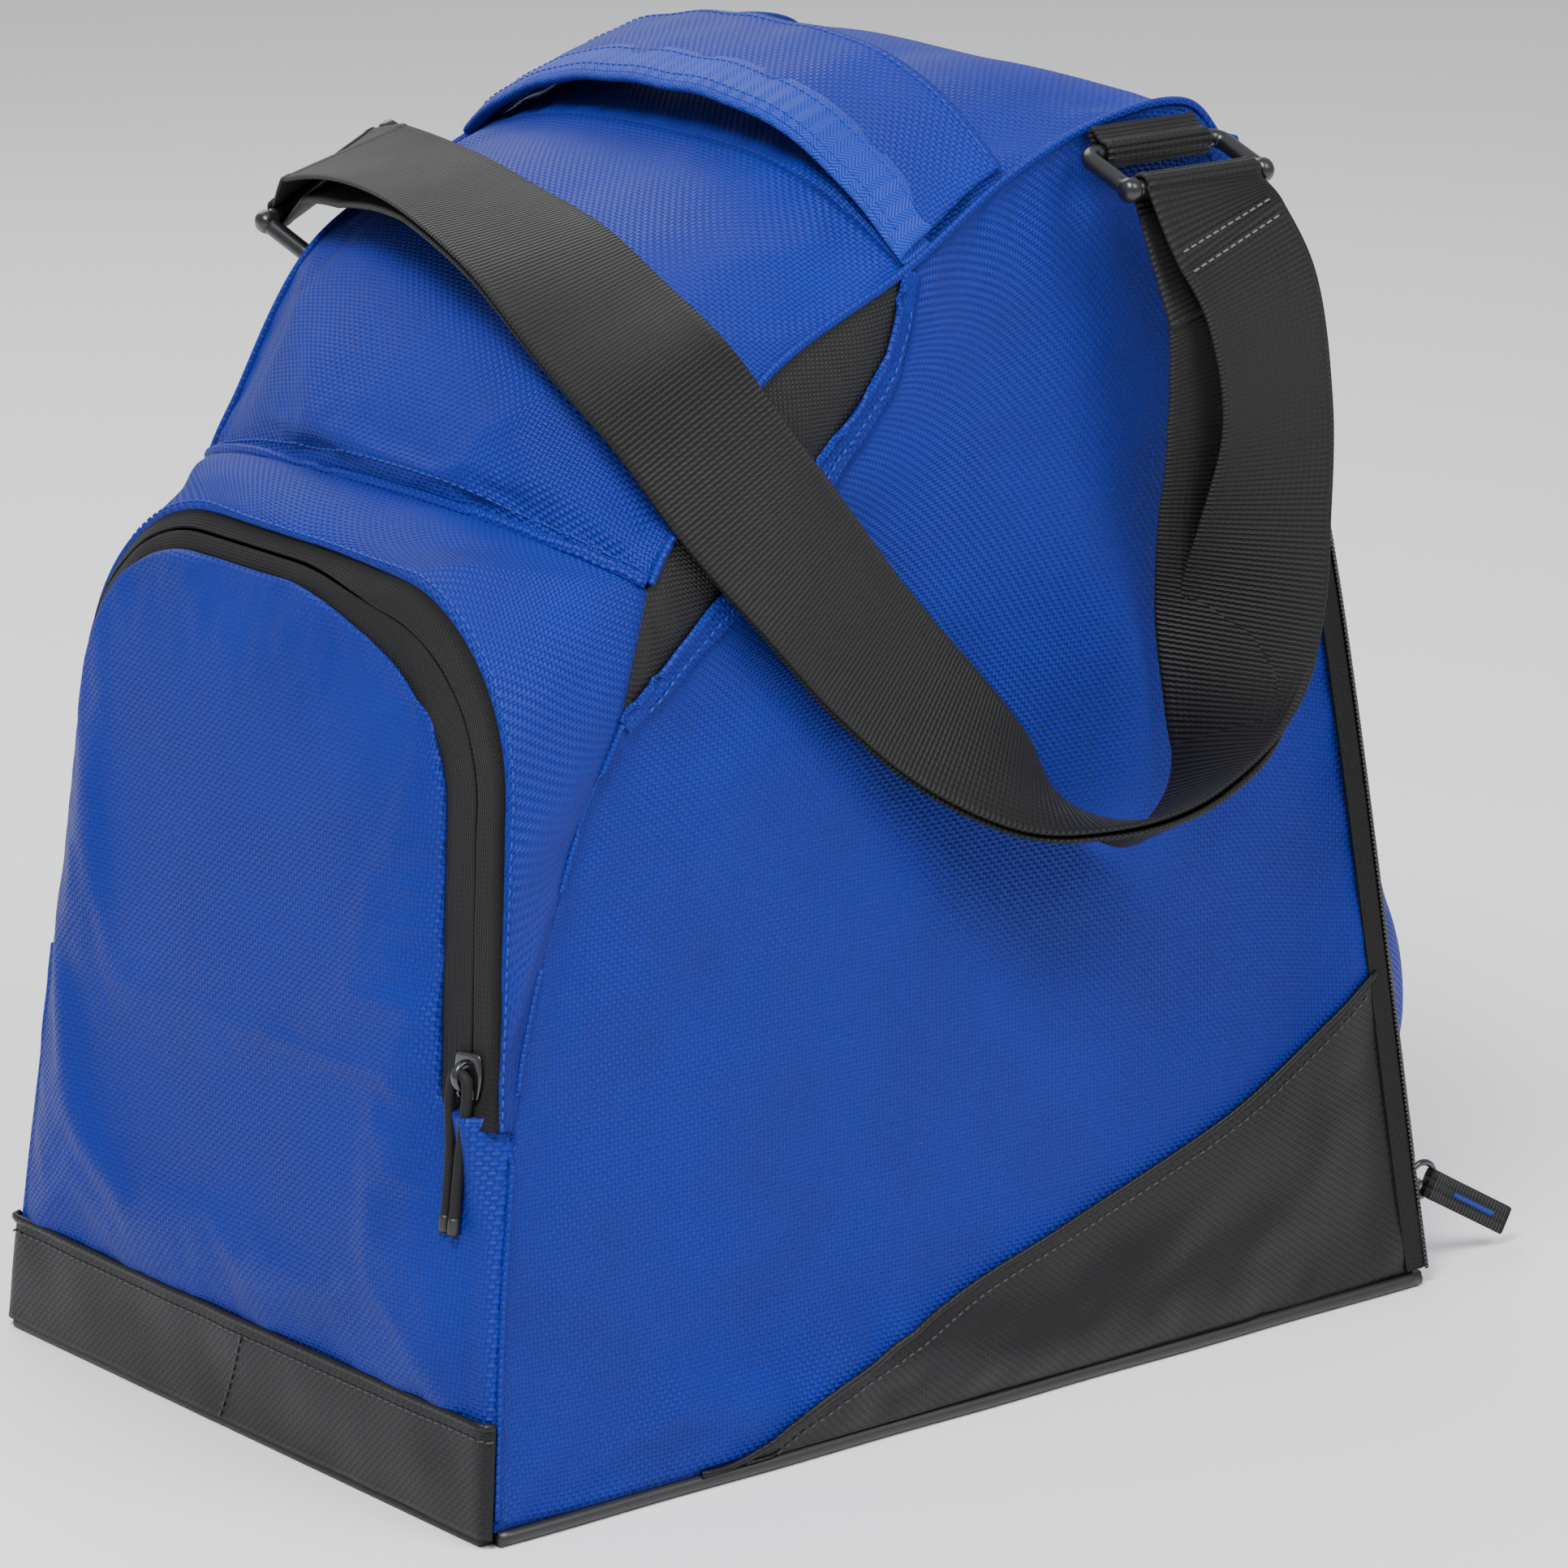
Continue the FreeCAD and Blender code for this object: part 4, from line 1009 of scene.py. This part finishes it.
# binding wrapped round the band's front edge: share of the band's width from that edge, and height
BOUND = 14 / BAND_WIDTH
BINDING = [
    (BOUND, 0.7), (BOUND * 0.75, 0.9), (BOUND * 0.5, 0.95), (BOUND * 0.2, 0.9), (0.02, 0.5),
    (-0.03, -1.2), (-0.03, -2.8), (0.02, -4.6), (0.12, -4.9), (0.24, -4.9),
]
binding_grid = []
for share, rise in BINDING:
    ahead = np.array([min(share, 0) * BAND_WIDTH, 0, 0])
    binding_grid.append([band_point(max(share, 0), t, 4.0 + rise) + ahead for t in t_line])
binding_grid = np.array(binding_grid)
binding_grid[..., 2] += 0.45 * noise(u[:1], v[:1], 26, 111)
binding = panel("handle_twill", binding_grid, "twill_tape", "bag", ["handle_binding"], thick=0.7, inner=None)
twill_skin = Skin(binding)
for row, share in enumerate((0.05, 0.25)):
    band_stitches("twill_stitches_%d" % row, twill_skin, share, pitch=3.2, length=2.3, radius=0.36)
band_stitches("band_stitches", Skin(band), 0.95)

# small hood over the zip's head
low_front, high_front, high_rear, low_rear = HOOD
hood_edges = ([low_front, high_front], [low_rear, high_rear], [low_front, low_rear], [high_front, high_rear])
hood_grid = on_side(coons(*[spread(edge, 9) for edge in hood_edges]), -1)
arched = np.sin(np.pi * np.linspace(0, 1, 9))
hood_grid[..., 1] -= 2.2 + 1.2 * arched[:, None] * arched[None]
panel("hood", hood_grid, "blue_fabric", "bag", ["zip_hood"], (0, -1, 0), 1.6, None)


# ---- shoulder strap ----
def ring_frame(which):
    """Middle of a ring, the ways along and across its bars, and the seam that holds its tab."""
    centre, along, across, seam = RINGS[which]
    along = unit(along)
    return np.array(centre, float), along, square_to(across, along), np.array(seam, float)


centres = np.array([s[0] for s in STRAP], float)
tangents = unit(np.gradient(centres, axis=0))
ways = square_to(unit([s[1] for s in STRAP]), tangents)
towards_bag = np.cross(tangents, ways)
line = smooth_line(np.column_stack([centres, ways, towards_bag]), 14 * (len(STRAP) - 1) + 1, even=False)
body_line, body_way, body_in = line[:, :3], unit(line[:, 3:6]), unit(line[:, 6:9])


def bar_wrap(which, beyond, inner_way, way):
    """Round a ring's outer bar, from its side away from the bag to its side facing the bag."""
    centre, along, across, _ = ring_frame(which)
    outside = square_to(-inner_way, along)
    beyond = square_to(square_to(beyond, along), outside)
    turns = np.linspace(-0.4, math.pi + 0.4, WRAP_STEPS)[:, None]
    arc = centre + across * RING_DEPTH / 2 + WRAP_RADIUS * (np.cos(turns) * outside + np.sin(turns) * beyond)
    return arc, np.tile(along * np.sign(np.dot(along, way)), (WRAP_STEPS, 1))


def strap_layer(name, node, points, ways, count):
    line = smooth_line(np.column_stack([points, ways]), count)
    points, ways = line[:, :3], unit(line[:, 3:])
    section = webbing_section(WEBBING_WIDTH, WEBBING_THICK)
    swept(name, points, section, "webbing", "strap", [node], ways=ways)
    return points, ways


far_arc, far_ways = bar_wrap("far", -tangents[0], body_in[0], ways[0])
near_arc, near_ways = bar_wrap("near", tangents[-1], body_in[-1], ways[-1])
outer = np.concatenate([far_arc[::-1], body_line[6:-3], near_arc])
outer_ways = np.concatenate([far_ways, body_way[6:-3], near_ways])
points, ways = strap_layer("strap_outer", "strap_outer_layer", outer, outer_ways, 560)

# the inner layer bulges off the outer one near both rings, and hangs forward of it below the near one
share = np.linspace(0, 20, len(body_line))
gap = np.interp(share, [0, 0.7, 1.6, 3, 15, 17, 18.5, 20], [4, 8, 9, 3, 3, 9, 9, 4])
hang = np.interp(share, [0, 14, 16, 18, 19.3, 20], [0, 0, -9, -16, -9, 0])
inner_line = body_line + body_in * gap[:, None] + np.array([1.0, 0, 0]) * hang[:, None]
inner = np.concatenate([far_arc[-3:], inner_line[10:-12], near_arc[-2:][::-1]])
inner_ways = np.concatenate([far_ways[:3], body_way[10:-12], near_ways[:2]])
strap_layer("strap_inner", "strap_inner_layer", inner, inner_ways, 520)

# stitch rows across the strap where it is folded round the near ring
tangent = unit(np.gradient(points, axis=0))
outside = -np.cross(tangent, square_to(ways, tangent))
for row, back in enumerate((25, 30)):
    facing = outside[-back] if np.dot(outside[-back], (0, -1, 0.2)) > 0 else -outside[-back]
    across = ways[-back] * np.linspace(-21, 21, 30)[:, None]
    line = points[-back] + across + facing * (WEBBING_THICK / 2 + 0.1)
    facings = np.tile(facing, (30, 1))
    stitch_row("strap_stitches_%d" % row, line, facings, "pale_thread", "strap", 3.4, 2.6, 0.4)

# anchors: a folded tab of webbing from the seam round the ring's inner bar
for which in SIDES.values():
    centre, along, across, seam = ring_frame(which)
    bar = centre - across * RING_DEPTH / 2
    pull = unit(seam - bar)
    over = np.cross(along, pull)
    over = -over if over[2] < 0 else over
    turns = np.linspace(-0.35, math.pi + 0.35, 16)
    loop = [bar + WRAP_RADIUS * (math.cos(turn) * over - math.sin(turn) * pull) for turn in turns]
    sewn, middle = seam + pull * 2, seam * 0.5 + bar * 0.5
    path = [sewn + over * 0.9, middle + over * 2.2] + loop + [middle - over * 2.2, sewn - over * 0.9]
    path = smooth_line(path, 80)
    section, node = webbing_section(44, WEBBING_THICK), "strap_anchor_" + which
    tab = swept("anchor_" + which, path, section, "webbing", None, [node], ways=np.tile(along, (80, 1)))
    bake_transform(tab)
    ring = finish_node("strap_ring_" + which, "ring_plastic").data.polygons
    ring.foreach_set("use_smooth", [True] * len(ring))
    for end in (-1, 1):
        tip = centre + across * RING_DEPTH / 2 + along * end * 28.5
        line = tip + along * end * np.linspace(-3, 3.2, 8)[:, None]
        name = "ring_knob_%s_%d" % (which, end + 1)
        taper = [0.7, 0.93, 1, 1, 1, 0.95, 0.8, 0.5]
        swept(name, line, round_section(4.1, 16), "ring_plastic", "strap", hint=across, taper=taper)


# ---- sliders and pulls ----
def slider(name, body, origin, up, out, half, length, lift, bridge_along):
    """Rounded outer and inner plates, and an arched bridge for the pull."""
    share = np.linspace(-1, 1, 15)
    taper = 1.0 - 0.28 * np.clip(-share, 0, 1) ** 1.5 - 0.18 * np.clip(share, 0, 1) ** 4
    circle = round_section(1.0, 24)
    for part, level, thick, nodes in (("plate", lift, 1.8, [body]), ("shoe", -4.0, 1.6, [])):
        line = origin + out * level + up * (share * length / 2)[:, None]
        outline = np.sign(circle) * np.abs(circle) ** np.array([0.5, 0.6]) * np.array([half, thick / 2])
        swept(name + "_" + part, line, outline, "slider_metal", body, nodes, hint=out, taper=taper)
    run = up if bridge_along else np.cross(up, out)
    turn = np.linspace(-0.15, math.pi + 0.15, 24)[:, None]
    arc = origin + out * (lift + 0.6) + run * (np.cos(turn) * 4.4) + out * (np.sin(turn) * 4.6)
    section = round_section(1.0, 12) * np.array([1.5, 1.0])
    swept(name + "_bridge", arc, section, "slider_metal", body, hint=out)


POCKET_SLIDER_AT = np.array([-183.698, -106.985, 143.0])
face_up, face_out = unit((FRONT_LEAN, 0, 1)), unit((-1, 0, FRONT_LEAN))
zip_up = unit((FRONT_LEAN, LEAN[-1], 1))
slider("pocket_slider_body", "pocket_slider", POCKET_SLIDER_AT, zip_up, face_out, 6.8, 14.5, 1.0, True)
end_lean = (LOAD_LINE[0][0] - LOAD_LINE[1][0]) / (LOAD_LINE[1][1] - LOAD_LINE[0][1])
zip_up, end_out = unit((-end_lean, LEAN[-1], 1)), unit((1, 0, end_lean))
main_slider_at = np.array([197.008, -121.745, 31.0])
slider("main_slider_body", "main_slider", main_slider_at, zip_up, end_out, 5.6, 14.0, 2.6, False)

# folded pull cord: two strands with melted ends, by points aside of, above and out from the slider
STRAND = [
    (0.0, 1.2, 4.5), (3.0, 0.6, 4.2), (4.2, -3.2, 4.0), (4.2, -10, 4.0), (2.6, -20.5, 3.6), (2.2, -34.5, 3.4),
    (2.3, -49.5, 3.6),
]
CORD_WIDTH = 3.5
for name, sign in (("a", 1), ("b", -1)):
    aside, upward, outward = np.array(STRAND).T[:, :, None]
    route = POCKET_SLIDER_AT + np.array([0, -sign, 0]) * aside + face_up * upward + face_out * outward
    data = bpy.data.curves.new("pull_strand_" + name, "CURVE")
    data.dimensions = "3D"
    data.bevel_depth = CORD_WIDTH / 2 * MM
    data.bevel_resolution = 5
    data.resolution_u = 16
    data.use_fill_caps = True
    spline = data.splines.new("NURBS")
    spline.points.add(len(route) - 1)
    for point, where in zip(spline.points, route):
        point.co = (*(where * MM), 1.0)
    spline.order_u = 3
    spline.use_endpoint_u = True
    strand = bpy.data.objects.new("pull_strand_" + name, data)
    bpy.context.scene.collection.objects.link(strand)
    data.materials.append(MATERIALS["pull_cord"])
    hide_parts("pocket_pull_cord")
    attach(strand, "pocket_pull")
    tip = route[-1] + unit(route[-1] - route[-2]) * np.linspace(-5.5, 0.4, 8)[:, None]
    taper = [0.9, 1, 1.02, 1.0, 1.03, 1.0, 0.92, 0.6]
    section = round_section(1.95, 16)
    melted = swept("pull_tip_" + name, tip, section, "piping", "pocket_pull", hint=face_out, taper=taper)

# main zip's pull: a small ring with a doubled webbing tab sewn by a zigzag bartack
ring_middle = np.array([207.150, -121.745, 32.084])
turn = np.linspace(0, 2 * math.pi, 48, endpoint=False)[:, None]
ring = ring_middle + 6 * (np.cos(turn) * np.array([1.0, 0, 0]) + np.sin(turn) * np.array([0, 0, 1.0]))
section, pull_node = round_section(1.15, 12), "main_pull_ring"
swept("main_ring", ring, section, "slider_metal", "main_pull", [pull_node], hint=(0, 1, 0), closed=True)
droop = math.radians(30)
tab_way = np.array([math.cos(droop), 0, -math.sin(droop)])
tab_up = np.array([math.sin(droop), 0, math.cos(droop)])
tab_out = np.array([0, -1.0, 0])
bend = [(4.4 - 1.5 * math.sin(a), 2.1 * math.cos(a)) for a in np.linspace(0.2, math.pi - 0.2, 6)]
tab_route = [
    (45, 0.85), (30, 0.9), (14, 1.0), (7.5, 1.7), *bend, (7.5, -1.7), (14, -1.0), (30, -0.9), (48, -0.85),
]
tab_line = smooth_line([ring_middle + tab_way * along + tab_out * out for along, out in tab_route], 120)
facing = np.cross(np.tile(tab_up, (120, 1)), unit(np.gradient(tab_line, axis=0)))
section = webbing_section(10, 1.5, 0.2)
swept("main_tab", tab_line, section, "webbing", "main_pull", ["main_pull_tab"], hint=facing)
count = 40
along, aside = (16 + np.arange(count) * 0.55)[:, None], np.where(np.arange(count) % 2, 0.9, -0.9)[:, None]
zigzag = ring_middle + tab_way * along + tab_up * aside + tab_out * 2.0
middles, stretches = (zigzag[1:] + zigzag[:-1]) / 2, unit(zigzag[1:] - zigzag[:-1])
facings = np.tile(tab_out, (count - 1, 1))
capsules("tab_bartack", middles, stretches, facings, 2.1, 0.3, "blue_thread", "main_pull", 0.4)

# ---- ground, light and camera ----
floor_material = bpy.data.materials.new("ground")
floor_material.use_nodes = True
floor_look = floor_material.node_tree.nodes["Principled BSDF"].inputs
floor_look["Base Color"].default_value = (0.86, 0.86, 0.865, 1)
floor_look["Roughness"].default_value = 0.75
floor_mesh = bpy.data.meshes.new("ground")
floor_mesh.from_pydata([(-9, -9, 0), (9, -9, 0), (9, 9, 0), (-9, 9, 0)], [], [(0, 1, 2, 3)])
floor_mesh.materials.append(floor_material)
ground = bpy.data.objects.new("ground", floor_mesh)
bpy.context.scene.collection.objects.link(ground)

world = bpy.data.worlds.new("soft light")
world.use_nodes = True
backdrop = world.node_tree.nodes["Background"].inputs
backdrop[0].default_value = (0.95, 0.97, 1.0, 1)
backdrop[1].default_value = 0.62
bpy.context.scene.world = world


def aimed(name, data, offset):
    """A light or camera at an offset from the middle of the view, looking at that middle."""
    thing = bpy.data.objects.new(name, data)
    thing.location = VIEW_MIDDLE + offset
    thing.rotation_euler = (-offset).to_track_quat("-Z", "Y").to_euler()
    bpy.context.scene.collection.objects.link(thing)
    return thing


VIEW_MIDDLE = Vector((0.026, 0.0, 0.177))
for name, offset, size, power in (
    ("key", (-1.2, -0.7, 1.9), 0.8, 74),
    ("side", (0.5, -1.5, 1.5), 1.0, 28),
    ("back", (0.4, 1.5, 1.4), 1.2, 18),
):
    light = bpy.data.lights.new(name, "AREA")
    light.size = size
    light.energy = power
    aimed(name, light, Vector(offset))

azimuth, elevation, distance = math.radians(-38.97), math.radians(15.21), 2.4
flat = math.cos(elevation)
towards_camera = Vector((math.sin(azimuth) * flat, -math.cos(azimuth) * flat, math.sin(elevation)))
camera_data = bpy.data.cameras.new("camera")
camera_data.sensor_width = 36
camera_data.lens = 165.3727
bpy.context.scene.camera = aimed("camera", camera_data, towards_camera * distance)
